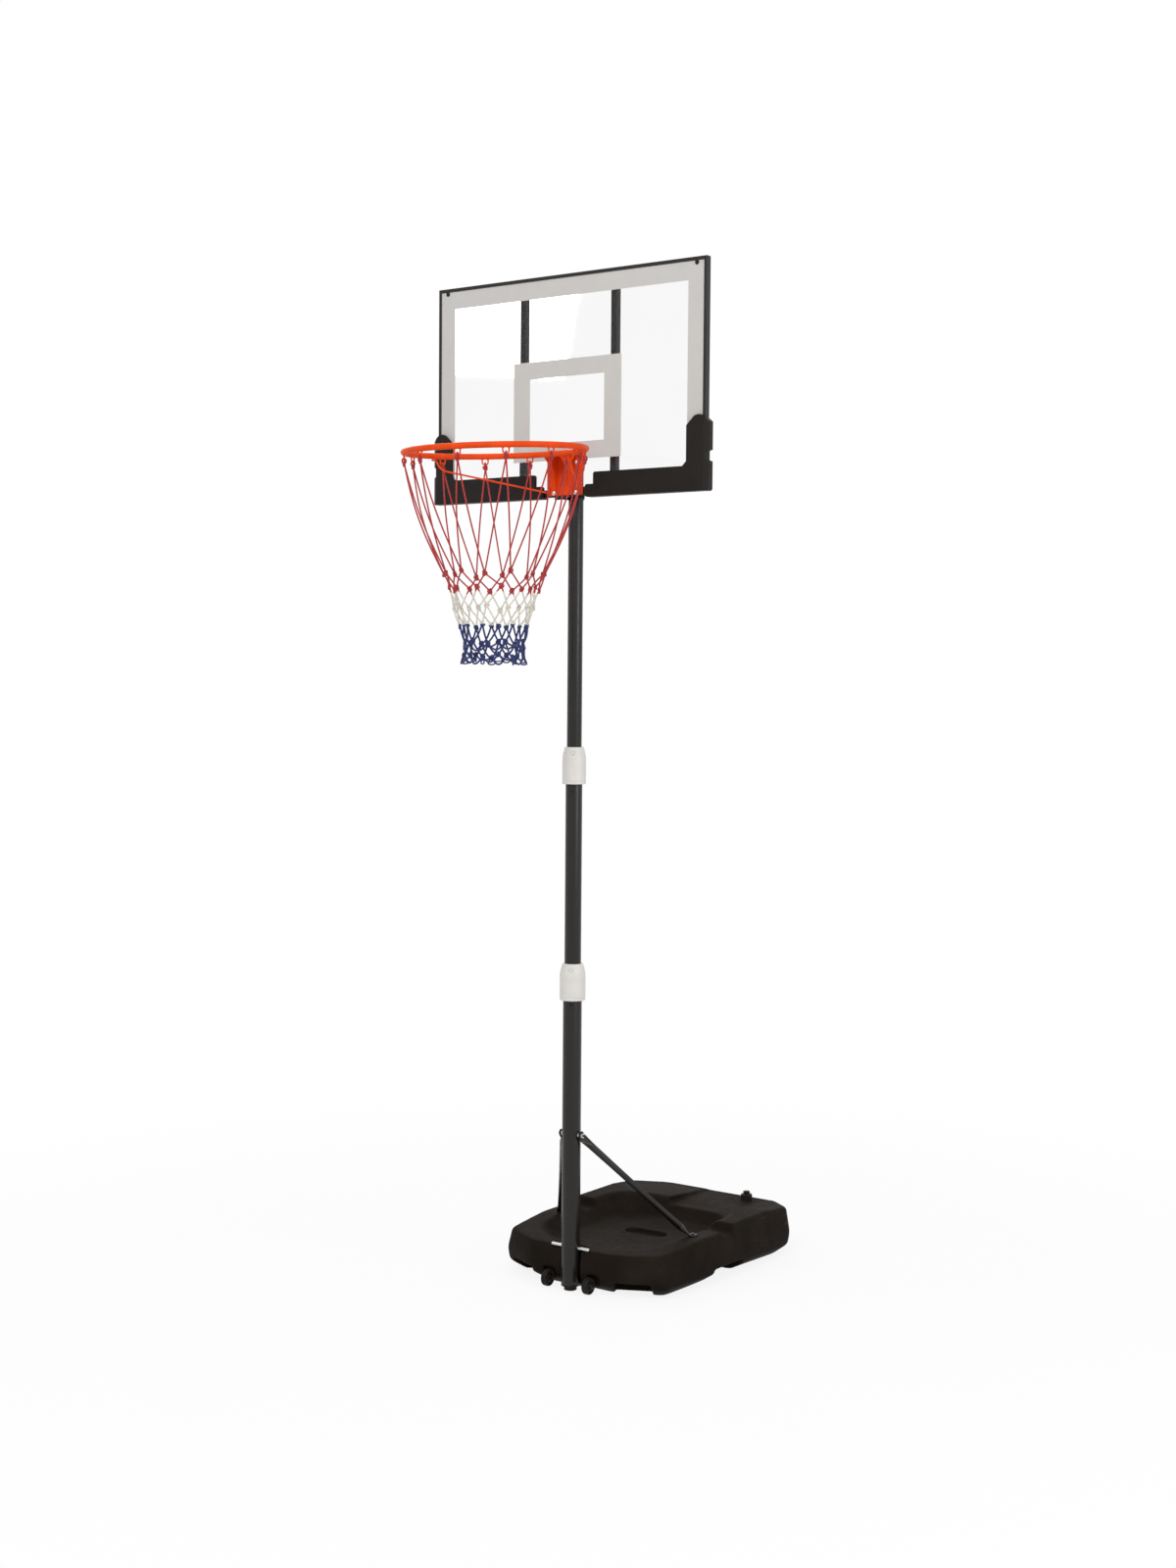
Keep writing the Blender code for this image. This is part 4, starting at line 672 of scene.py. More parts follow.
PRINT = Finish(
    "screen_print_grey", "clear_sheet", (0.53, 0.512, 0.488), 0.40, specular=0.25, mottle=0.02,
    mottle_size=0.05, grain_size=0.0006, grain_depth=0.000008, ripple_depth=0.00002,
)
CORD = CordFinish(
    "braided_cord", "net_cord", (0.6, 0.2, 0.2), 0.82, specular=0.2,
    bands=((1.70, (0.020, 0.032, 0.15)), (1.838, (0.78, 0.73, 0.63)),
           (1.918, (0.47, 0.035, 0.035))),
)


# Pieces


def build_piece(
    name: str, surfaces: list[Surface], finish: Finish, body: Body, stands_for: tuple = (),
    crease: float = 34.0,
) -> bpy.types.Object:
    """Makes one piece: merges doubles, points its faces outwards, smooths it below the crease
    angle, dresses it and lets it ride.

    Args:
        name: the piece's name.
        surfaces: what it is made of.
        finish: its finish.
        body: the body that it rides on.
        stands_for: the CAD nodes that it replaces.
        crease: the angle in degrees past which an edge stays sharp.

    Returns:
        The piece.
    """
    whole = joined(surfaces)
    mesh = bpy.data.meshes.new(name)
    mesh.from_pydata(whole.points.tolist(), [], whole.quads.tolist() + whole.caps)
    if whole.uv is not None:
        mesh.uv_layers.new(name="cord").data.foreach_set("uv", whole.uv.ravel())
    settle(mesh, crease)
    return dress(bpy.data.objects.new(name, mesh), finish, body, stands_for)


def settle(mesh: bpy.types.Mesh, crease: float) -> None:
    """Merges doubled points, points faces outwards and shades smoothly below the crease angle.

    Args:
        mesh: the mesh, which is changed.
        crease: the angle in degrees past which an edge stays sharp.
    """
    shape = bmesh.new()
    shape.from_mesh(mesh)
    bmesh.ops.remove_doubles(shape, verts=shape.verts, dist=MERGE)
    bmesh.ops.dissolve_degenerate(shape, edges=shape.edges, dist=MERGE)
    bmesh.ops.recalc_face_normals(shape, faces=shape.faces)
    shape.to_mesh(mesh)
    shape.free()
    mesh.shade_smooth()
    mesh.set_sharp_from_angle(angle=math.radians(crease))


def dress(
    piece: bpy.types.Object, finish: Finish, body: Body, stands_for: tuple = ()
) -> bpy.types.Object:
    """Gives a piece its finish and its body, and hides the CAD nodes that it stands for.

    Args:
        piece: the piece.
        finish: its finish.
        body: the body that it rides on.
        stands_for: the CAD nodes that it replaces.

    Returns:
        The same piece.
    """
    if not piece.users_collection:
        bpy.context.scene.collection.objects.link(piece)
    piece.data.materials.clear()
    piece.data.materials.append(finish.material())
    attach(piece, body.value)
    if stands_for:
        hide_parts(*stands_for)
    LOG.info("%s: %d faces on %s", piece.name, len(piece.data.polygons), body.value)
    return piece


def carved(
    name: str, surface: Surface, tools: list[Surface], voxel: float | None = None
) -> bpy.types.Mesh:
    """A surface with closed tools cut from it.

    Args:
        name: the mesh's name.
        surface: what is cut.
        tools: closed surfaces that are taken away.
        voxel: the grid size of a result that is remeshed and smoothed, or None to leave it.

    Returns:
        The mesh that is left, with its modifiers applied.
    """
    made = []
    for index, part in enumerate([surface] + tools):
        mesh = bpy.data.meshes.new("%s_%d" % (name, index))
        mesh.from_pydata(part.points.tolist(), [], part.quads.tolist() + part.caps)
        settle(mesh, NO_CREASE)
        made.append(bpy.data.objects.new(mesh.name, mesh))
        bpy.context.scene.collection.objects.link(made[-1])
    whole = made[0]
    for tool in made[1:]:
        step = whole.modifiers.new(tool.name, "BOOLEAN")
        step.operation, step.object, step.solver = "DIFFERENCE", tool, "EXACT"
    if voxel:
        remesh = whole.modifiers.new("skin", "REMESH")
        remesh.mode, remesh.voxel_size, remesh.use_smooth_shade = "VOXEL", voxel, True
        smooth = whole.modifiers.new("soften", "SMOOTH")
        smooth.factor, smooth.iterations = VOXEL_SMOOTHING
    graph = bpy.context.evaluated_depsgraph_get()
    result = bpy.data.meshes.new_from_object(whole.evaluated_get(graph))
    for part in made:
        bpy.data.meshes.remove(part.data)
    result.name = name
    return result


def upright_turn(surface: Surface, turn: float, height: float) -> Surface:
    """Lays a surface turned about Z so that its axis points level: (x, y, h) goes to
    x side + y up + h out.

    Args:
        surface: the surface, which is changed.
        turn: the angle from +X that its axis points along.
        height: how high its axis lies.

    Returns:
        The same surface.
    """
    out = np.array([math.cos(turn), math.sin(turn), 0])
    side = np.array([-out[1], out[0], 0])
    x, y, h = surface.points.T[:, :, None]
    surface.points = x * side + y * UP + h * out
    surface.points[:, 2] += height
    return surface


def peg(radius: float, near: float, far: float, turn: float, height: float) -> Surface:
    """A closed level cylinder for cutting, which points away from the pole's axis."""
    profile = np.array([(0, far), (radius, far), (radius, near), (0, near)])
    return upright_turn(lathe(profile, segments=40), turn, height)


def softened(
    node: str, name: str, finish: Finish, body: Body, width: float = 0.0007, segments: int = 2
) -> bpy.types.Object:
    """A merged copy of a CAD node with its sharp edges rounded by a Bevel.

    Args:
        node: the CAD node, which the copy stands for.
        name: the copy's name.
        finish: its finish.
        body: the body that it rides on.
        width: how far the rounding reaches from an edge.
        segments: number of steps across the rounding.

    Returns:
        The piece.
    """
    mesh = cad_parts[node].data.copy()
    mesh.name = name
    shape = bmesh.new()
    shape.from_mesh(mesh)
    bmesh.ops.remove_doubles(shape, verts=shape.verts, dist=CAD_MERGE)
    bmesh.ops.dissolve_limit(shape, angle_limit=CAD_FLAT, verts=shape.verts, edges=shape.edges)
    shape.to_mesh(mesh)
    shape.free()
    piece = bpy.data.objects.new(name, mesh)
    bevel = piece.modifiers.new("edges", "BEVEL")
    bevel.width, bevel.segments = width, segments
    bevel.limit_method, bevel.angle_limit = "ANGLE", BEVEL_ANGLE
    bevel.use_clamp_overlap = True
    mesh.shade_smooth()
    mesh.set_sharp_from_angle(angle=CAD_CREASE)
    return dress(piece, finish, body, (node,))


@dataclass
class Fasteners:
    """Bolts, nuts, washers and screws, each in the place of its CAD node."""

    bolt_shank: float = 0.003
    screw_shank: float = 0.002
    nut_bore: float = 0.0031
    washer_bore: float = 0.0033
    strut_head: float = 0.006
    foot_head: float = 0.004
    corner_head: float = 0.003
    cover_head: float = 0.0021
    rim_head: float = 0.004
    chamfer: float = 0.0006
    head_edge: float = 0.28
    ring_edge: float = 0.3
    thread_pitch: float = 0.001
    thread_depth: float = 0.00025
    thread_step: float = 0.00025
    thread_run_in: float = 0.001
    plain_share: float = 0.55
    nut_lip: float = 0.0001
    nut_face: float = 0.97
    crease: float = 40
    nut_crease: float = 24
    columns: int = 48
    ring_columns: int = 64
    nut_columns: int = 72

    def dome(
        self, node: str, axis: Axis, way: int, shank: float, head_height: float,
        finish: Finish = ZINC, body: Body = Body.UPPER,
    ) -> None:
        """A domed bolt. Its head's height follows sqrt(1 - (r/R)^2), and its shank carries a
        helical thread whose height depends on the distance along less the turn times the pitch.

        Args:
            node: the CAD bolt.
            axis: the axis that it lies along.
            way: 1 where its head is at the high end of the axis, or else -1.
            shank: the shank's radius.
            head_height: height of the head.
            finish: its finish.
            body: the body that it rides on.
        """
        at, low, high, head_radius = turned_node(node, axis)
        top, tip = (high, low) if way > 0 else (low, high)
        under = top - way * head_height
        length = abs(tip - under)
        share = np.sin(np.linspace(0, math.pi / 2, 14))
        rise = np.sqrt(np.clip(1 - share**2, 0, 1))
        edge = head_height * self.head_edge
        crown = np.stack([head_radius * share,
                          under + way * (edge + (head_height - edge) * rise)], -1)
        rim = eased(np.array([crown[-1], (head_radius, under), (shank, under)]), self.chamfer)
        marks = np.linspace(0, length, max(24, int(length / self.thread_step)))[:, None]
        shaft = np.concatenate([np.full_like(marks, shank), under - way * marks], axis=1)
        end = [(shank - self.chamfer, tip), (0, tip)]

        def thread(angle: np.ndarray, radius: np.ndarray, height: np.ndarray) -> np.ndarray:
            """How far the shank lies below the thread's crest: d (1 - sin(2 pi g / p - a)) / 2.

            Args:
                angle: angles round the axis.
                radius: radii of the profile.
                height: heights of the profile.

            Returns:
                What is added to each radius.
            """
            gone = np.abs(height - under)
            on = np.clip((gone - length * self.plain_share) / self.thread_run_in, 0, 1)
            on = on * (np.abs(radius / shank - 1) < 0.02)
            wave = np.sin(TAU * (gone / self.thread_pitch) - angle)
            return on * self.thread_depth * (wave - 1) / 2

        profile = np.concatenate([crown, rim[1:-1], shaft, end])
        surface = lathe(profile, at, axis, self.columns, thread)
        build_piece(node + "_dressed", [surface], finish, body, (node,), self.crease)

    def nut(self, node: str, axis: Axis, bore: float, body: Body = Body.UPPER) -> None:
        """A six-sided nut with chamfered faces. Its side lies at d / cos(a within its sixth),
        where d is the distance of its flats.

        Args:
            node: the CAD nut.
            axis: the axis that it lies along.
            bore: radius of its hole.
            body: the body that it rides on.
        """
        low, high = box_of(node)
        k = axis.value
        spans = (high - low)[[(k + 1) % 3, (k + 2) % 3]]
        flat = spans.max() / 2 * math.cos(TAU / 12)
        angle = np.linspace(0, TAU, self.nut_columns, endpoint=False)[None, :]
        offset = 0.0 if spans[0] >= spans[1] else TAU / 12
        side = flat / np.cos((angle + offset) % (TAU / 6) - TAU / 12)
        rises = np.array([0, self.nut_lip, self.chamfer])
        heights = np.concatenate([low[k] + rises, high[k] - rises[::-1]])[:, None]
        face = flat * self.nut_face
        radius = np.array([bore, face, 0, 0, face, bore])[:, None]
        radius = np.where(radius > 0, radius, side)
        at = (low + high) / 2
        at[k] = 0
        points = along_axis(radius * np.cos(angle), heights + 0 * angle, radius * np.sin(angle),
                            axis)
        surface = quad_grid(points + at, along=True)
        build_piece(node + "_dressed", [surface], ZINC, body, (node,), self.nut_crease)

    def ring(self, node: str, axis: Axis, bore: float, finish: Finish, body: Body) -> None:
        """A flat washer, spacer or seal with rounded edges.

        Args:
            node: the CAD ring.
            axis: the axis that it lies along.
            bore: radius of its hole.
            finish: its finish.
            body: the body that it rides on.
        """
        at, low, high, outer = turned_node(node, axis)
        corners = np.array([(bore, low), (outer, low), (outer, high), (bore, high)])
        profile = eased(corners, min(self.chamfer, (high - low) * self.ring_edge), closed=True)
        surface = lathe(profile, at, axis, self.ring_columns, closed=True)
        build_piece(node + "_dressed", [surface], finish, body, (node,))

    def build(self) -> None:
        """Makes every fastener of the stand."""
        bolt, screw = self.bolt_shank, self.screw_shank
        self.dome("strut_bolt", Axis.X, -1, bolt, self.strut_head, STEEL_BLACK, Body.BASE)
        self.nut("strut_nut", Axis.X, self.nut_bore, Body.BASE)
        for _, side in SIDES:
            self.dome("strut_foot_bolt_" + side, Axis.Z, 1, bolt, self.foot_head, STEEL_BLACK,
                      Body.BASE)
            self.ring("strut_washer_" + side, Axis.X, self.washer_bore, ZINC, Body.BASE)
            self.ring("rim_spacer_" + side, Axis.Y, self.washer_bore, PLASTIC_BLACK, Body.UPPER)
            self.dome("corner_screw_" + side, Axis.Y, -1, screw, self.corner_head, PLASTIC_BLACK)
            self.dome("cover_screw_" + side, Axis.Y, 1, screw, self.cover_head)
            for level in ("upper", "lower"):
                self.dome("rim_bolt_%s_%s" % (level, side), Axis.Y, -1, bolt, self.rim_head)
                self.nut("rim_nut_%s_%s" % (level, side), Axis.Y, self.nut_bore)


@dataclass
class BaseTank:
    """The blow-moulded tank with its ridge, sunken deck, notches and filler neck."""

    front: float = -0.004
    rear: float = 0.788
    half_width: float = 0.297
    middle_y: float = 0.392
    corner_front: Triple = (0.145, 0.278, 0.068)
    taper_end: float = 0.245
    corner_rear: Triple = (0.195, 0.290, 0.080)
    outline_roundness: float = 60
    sole_inset: float = 0.052
    flank_foot: Pair = (0.006, 0.027)
    flank_height: float = 0.063
    crest_insets: Pair = (0.008, 0.014)
    crest_drop: float = 0.006
    ridge_heights: Triple = (0.117, 0.132, 0.145)
    ridge_rise: Pair = (0.030, 0.235)
    ridge_step: Pair = (0.392, 0.412)
    ridge_fall: Pair = (0.600, 0.127)
    narrowing: float = 0.008
    dish: Triple = (0.055, 0.565, 0.218)
    dish_roundness: float = 4
    dish_lip: Pair = (-0.003, 0.008)
    dish_foot: tuple[Pair, Pair] = ((0.045, 0.005), (0.057, 0.0))
    dish_floor: float = 0.084
    ring_rounding: tuple[float, ...] = (0, 0.010, 0.010, 0.012, 0.005, 0.005, 0.006, 0.008,
                                        0.010, 0.012, 0)
    slot: Pair = (0.031, 0.034)
    side_dip: Pair = (0.352, 0.400)
    side_dip_depth: float = 0.014
    side_dip_slope: float = 0.024
    side_notch: Four = (0.295, 0.440, 0.110, 0.038)
    corner_notch: Four = (0.36, 0.107, 0.085, 0.040)
    wheel_well: Pair = (0.057, 0.094)
    wheel_well_depth: float = 0.015
    wheel_well_height: float = 0.052
    recess: Triple = (0.136, 0.054, 0.372)
    recess_depth: float = 0.014
    filler_pad: Pair = (-0.043, 0.185)
    filler_pad_reach: float = 0.05
    filler_at: Pair = (0.119, 0.736)
    filler_deck: float = 0.126
    neck_radii: Triple = (0.0115, 0.0135, 0.0139)
    neck_flange: Pair = (0.021, 0.0205)
    neck_root: float = 0.004
    neck_levels: Four = (0.0004, 0.001, 0.0115, 0.012)
    thread_pitch: float = 0.003
    thread_depth: float = 0.0005
    columns: int = 560
    voxel: float = 0.0036
    beyond: float = 0.2

    def reach(self, angle: np.ndarray, planes: list, roundness: float) -> np.ndarray:
        """Distance from the middle to a rounded polygon: the sum over its sides of
        max(0, cos(a - direction) / distance) to the roundness, to the power -1 / roundness.

        Args:
            angle: angles round the middle.
            planes: direction and distance of each side.
            roundness: how sharp the corners are.

        Returns:
            The distance at each angle.
        """
        direction, distance = (np.array(part)[:, None] for part in zip(*planes))
        part = np.maximum(0, np.cos(angle - direction) / distance) ** roundness
        return part.sum(axis=0) ** (-1 / roundness)

    def side_plane(self, start: tuple, end: tuple) -> Pair:
        """The side between two points, as seen from the middle.

        Args:
            start: one of its ends, as X and Y from the middle.
            end: its other end.

        Returns:
            The direction and the distance of the nearest point of the side's line.
        """
        slope = np.subtract(end, start)
        normal = np.array([slope[1], -slope[0]]) / np.linalg.norm(slope)
        distance = float(normal @ start)
        if distance < 0:
            normal, distance = -normal, -distance
        return math.atan2(normal[1], normal[0]), distance

    def outline_planes(self, narrowing: float = 0.0) -> list[Pair]:
        """The ten sides of the tank's outline.

        Args:
            narrowing: how far the flanks are drawn in.

        Returns:
            The direction and distance of each side.
        """
        front, rear = self.middle_y - self.front, self.rear - self.middle_y
        half = self.half_width
        near, far, run = self.corner_front
        corner = self.side_plane((near, -front), (far, run - front))
        turn, distance = self.side_plane((far, run - front), (half, self.taper_end - self.middle_y))
        near, far, run = self.corner_rear
        sloping = [corner, (turn, distance - narrowing),
                   self.side_plane((near, rear), (far, rear - run))]
        planes = [(-math.pi / 2, front), (math.pi / 2, rear), (0, half - narrowing),
                  (math.pi, half - narrowing)]
        return planes + [(way * turn + (way < 0) * math.pi, distance)
                         for turn, distance in sloping for way in (1, -1)]

    def ridge_height(self, y: np.ndarray) -> np.ndarray:
        """Height of the ridge. It climbs evenly along the front, steps up by t^2 (3 - 2 t), and
        falls evenly to the rear.

        Args:
            y: places along the tank.

        Returns:
            The height at each place.
        """
        front, middle, rear = self.ridge_heights
        start, end_height = self.ridge_fall
        climb = (middle - front) * ramp(y, *self.ridge_rise)
        t = ramp(y, *self.ridge_step)
        fall = (rear - end_height) * ramp(y, start, self.rear)
        return front + climb + (rear - middle) * t * t * (3 - 2 * t) - fall

    def form(self) -> Surface:
        """The tank's skin. Each ring lies at the outline's or the deck's reach less an inset, at
        a height or a drop below the ridge, and the section through the rings is eased.

        Returns:
            A closed surface from the sole's middle over the ridge to the deck's middle.
        """
        angle = np.linspace(0, TAU, self.columns, endpoint=False)
        outer = self.reach(angle, self.outline_planes(), self.outline_roundness)
        crest = self.reach(angle, self.outline_planes(self.narrowing), self.outline_roundness)
        dish_front, dish_rear, dish_half = self.dish
        planes = [(-math.pi / 2, self.middle_y - dish_front),
                  (math.pi / 2, dish_rear - self.middle_y), (0, dish_half), (math.pi, dish_half)]
        inner = self.reach(angle, planes, self.dish_roundness)

        def ring(reach: np.ndarray, height: float | None = None, drop: float = 0.0) -> np.ndarray:
            """One ring of the skin.

            Args:
                reach: its distance from the middle at each angle.
                height: its height, or nothing where it follows the ridge.
                drop: how far it lies below the ridge.

            Returns:
                Its points.
            """
            x, y = reach * np.cos(angle), self.middle_y + reach * np.sin(angle)
            level = self.ridge_height(y) - drop if height is None else height + 0 * x
            return np.stack([x, y, level], -1)

        foot_inset, foot_height = self.flank_foot
        crest_outer, crest_inner = self.crest_insets
        lip_outer, lip_inner = self.dish_lip
        rings = [
            ring(0 * angle, 0.0), ring(outer - self.sole_inset, 0.0),
            ring(outer - foot_inset, foot_height), ring(outer, self.flank_height),
            ring(crest - crest_outer, drop=self.crest_drop), ring(crest - crest_inner),
            ring(inner - lip_outer), ring(inner - lip_inner, drop=self.crest_drop),
            *(ring(inner - inset, self.dish_floor + rise) for inset, rise in self.dish_foot),
            ring(0 * angle, self.dish_floor),
        ]
        section = eased(np.stack(rings, axis=1), np.array(self.ring_rounding), 5)
        return quad_grid(np.moveaxis(section, 1, 0))

    def block(self, low: tuple, high: tuple) -> Surface:
        """A block for cutting, from its lowest corner to its highest one."""
        (x0, y0, z0), (x1, y1, z1) = low, high
        return bar([[(x0, y0, z), (x1, y0, z), (x1, y1, z), (x0, y1, z)] for z in (z0, z1)])

    def dip_cutter(self) -> Surface:
        """What cuts the dips in both flanks' ridge: a wedge along X that widens upwards.

        Returns:
            The wedge.
        """
        low, high = self.side_dip
        floor = self.ridge_heights[1] - self.side_dip_depth
        outline = [(low, floor), (high, floor), (high + self.side_dip_slope, self.beyond),
                   (low - self.side_dip_slope, self.beyond)]
        return bar([[(x, y, z) for y, z in outline] for x in (-self.beyond * 2, self.beyond * 2)])

    def recess_cutter(self) -> Surface:
        """What cuts the deck's recess: an upright prism over a level oval, whose two ends are half
        circles moved apart along X.

        Returns:
            The prism.
        """
        length, width, y = self.recess
        turn = np.linspace(0, TAU, 64, endpoint=False)
        x = width / 2 * np.cos(turn) + np.sign(np.cos(turn)) * (length - width) / 2
        oval = np.stack([x, y + width / 2 * np.sin(turn)], -1)
        floor = self.dish_floor - self.recess_depth
        return bar([np.column_stack([oval, np.full(len(oval), z)]) for z in (floor, self.beyond)])

    def corner_notch_cutter(self, side: int) -> Surface:
        """What cuts the notch in a sloping front corner: a block turned square to the corner by
        x' = x cos a - y sin a and y' = x sin a + y cos a, at a share of the corner's length.

        Args:
            side: -1 for the left corner, or 1 for the right one.

        Returns:
            The turned block.
        """
        near, wide, run = self.corner_front
        share, width, depth, top = self.corner_notch
        start, end = np.array([near, self.front]), np.array([wide, self.front + run])
        at = start + (end - start) * share
        turn = side * math.atan2(run, wide - near)
        notch = self.block((-width / 2, -depth, -self.beyond), (width / 2, depth, top))
        x, y, z = notch.points.T
        c, s = math.cos(turn), math.sin(turn)
        notch.points = np.stack([side * at[0] + x * c - y * s, at[1] + x * s + y * c, z], -1)
        return notch

    def cutters(self) -> list[Surface]:
        """What is cut from the form: the pole's slot, the dips, the recess, the filler's pad, and
        on each side a notch in the flank, a wheel well and a notch in the corner.

        Returns:
            The closed surfaces, in the order of the cuts.
        """
        far = self.beyond
        half, depth = self.slot
        pad_low, pad_high = self.filler_pad
        reach = self.filler_pad_reach
        pad = self.block((pad_low, self.dish[1] - reach, self.filler_deck),
                         (pad_high, self.rear + reach, far))
        blocks = [self.block((-half, -far, -far), (half, depth, far)), self.dip_cutter(), pad,
                  self.recess_cutter()]
        low, high, depth, top = self.side_notch
        for side, _ in SIDES:
            edge = side * self.half_width
            near, wide = sorted(side * x for x in self.wheel_well)
            blocks += [
                self.block((edge - depth, low, -far), (edge + depth, high, top)),
                self.block((near, -far, -far),
                           (wide, self.wheel_well_depth, self.wheel_well_height)),
                self.corner_notch_cutter(side),
            ]
        return blocks

    def build(self) -> None:
        """Cuts the form, remeshes it finely so that every edge is softly rounded as blow moulding
        leaves it, keeps its sole on the floor, and adds the filler neck.
        """
        mesh = carved("tank_body", self.form(), self.cutters(), self.voxel)
        points = points_of(mesh)
        points[:, 2] = np.maximum(points[:, 2], 0.0)
        mesh.vertices.foreach_set("co", points.ravel())
        mesh.shade_smooth()
        shell = bpy.data.objects.new("tank_body", mesh)
        dress(shell, PLASTIC_TANK, Body.BASE, ("base_tank",))
        self.build_neck()

    def build_neck(self) -> None:
        """The filler neck. Its thread is a helix that stands out from the wall by
        depth times max(0, sin(2 pi height / pitch - a)).
        """
        deck = self.filler_deck
        bore, mouth, outer = self.neck_radii
        wide, narrow = self.neck_flange
        root = deck - self.neck_root
        flange_top, wall_low, wall_high, top = (deck + rise for rise in self.neck_levels)
        rise = np.linspace(wall_low, wall_high, 40)[:, None]
        wall = np.concatenate([np.full_like(rise, outer), rise], axis=1)
        profile = np.concatenate([[(bore, root), (wide, root), (narrow, flange_top)], wall,
                                  [(mouth, top), (bore, top)]])

        def thread(angle: np.ndarray, radius: np.ndarray, height: np.ndarray) -> np.ndarray:
            """The helix, on the neck's outer wall only."""
            on = (np.abs(radius - outer) < MERGE) * self.thread_depth
            return on * np.maximum(0, np.sin(TAU * (height - deck) / self.thread_pitch - angle))

        neck = lathe(profile, (*self.filler_at, 0), Axis.Z, 96, thread, closed=True)
        build_piece("filler_neck", [neck], PLASTIC_TANK, Body.BASE)


@dataclass
class FillerCap:
    """The cap that closes the filler neck, with finger ribs and its seal."""

    knob_height: float = 0.009
    knob_radii: Four = (0.0085, 0.0110, 0.0084, 0.0100)
    knob_edge: float = 0.0020
    knob_foot: float = 0.0012
    shoulder_share: float = 0.93
    shoulder_fall: float = 0.0022
    skirt_bore: float = 0.0149
    lid: float = 0.0036
    rounding: float = 0.0012
    columns: int = 224
    ribs: int = 28
    rib_depth: float = 0.0006
    rib_margins: Pair = (0.0003, 0.0015)
    seal_bore: float = 0.0115

    def build(self) -> None:
        """Turns the cap. Its ribs take depth times |sin(ribs a / 2)| off the skirt's radius."""
        at, deck, top, outer = turned_node("filler_cap", Axis.Z)
        shoulder = top - self.knob_height
        crown, brim, waist, foot = self.knob_radii
        under, margin = shoulder - self.lid, self.rib_margins
        outline = [(0, top), (crown, top), (brim, top - self.knob_edge),
                   (waist, shoulder + self.knob_foot), (foot, shoulder),
                   (outer * self.shoulder_share, shoulder), (outer, shoulder - self.shoulder_fall),
                   (outer, deck), (self.skirt_bore, deck), (self.skirt_bore, under), (0, under)]

        def ribs(angle: np.ndarray, radius: np.ndarray, height: np.ndarray) -> np.ndarray:
            """Shallow flutes round the skirt, below its shoulder."""
            on = (np.abs(radius - outer) < margin[0]) * (height < shoulder - margin[1])
            return -self.rib_depth * on * np.abs(np.sin(self.ribs * angle / 2))

        profile = eased(np.array(outline), self.rounding, 5)
        cap = lathe(profile, at, Axis.Z, self.columns, ribs)
        build_piece("filler_cap_dressed", [cap], PLASTIC_BLACK, Body.CAP, ("filler_cap",))
        Fasteners().ring("cap_seal", Axis.Z, self.seal_bore, RUBBER, Body.CAP)


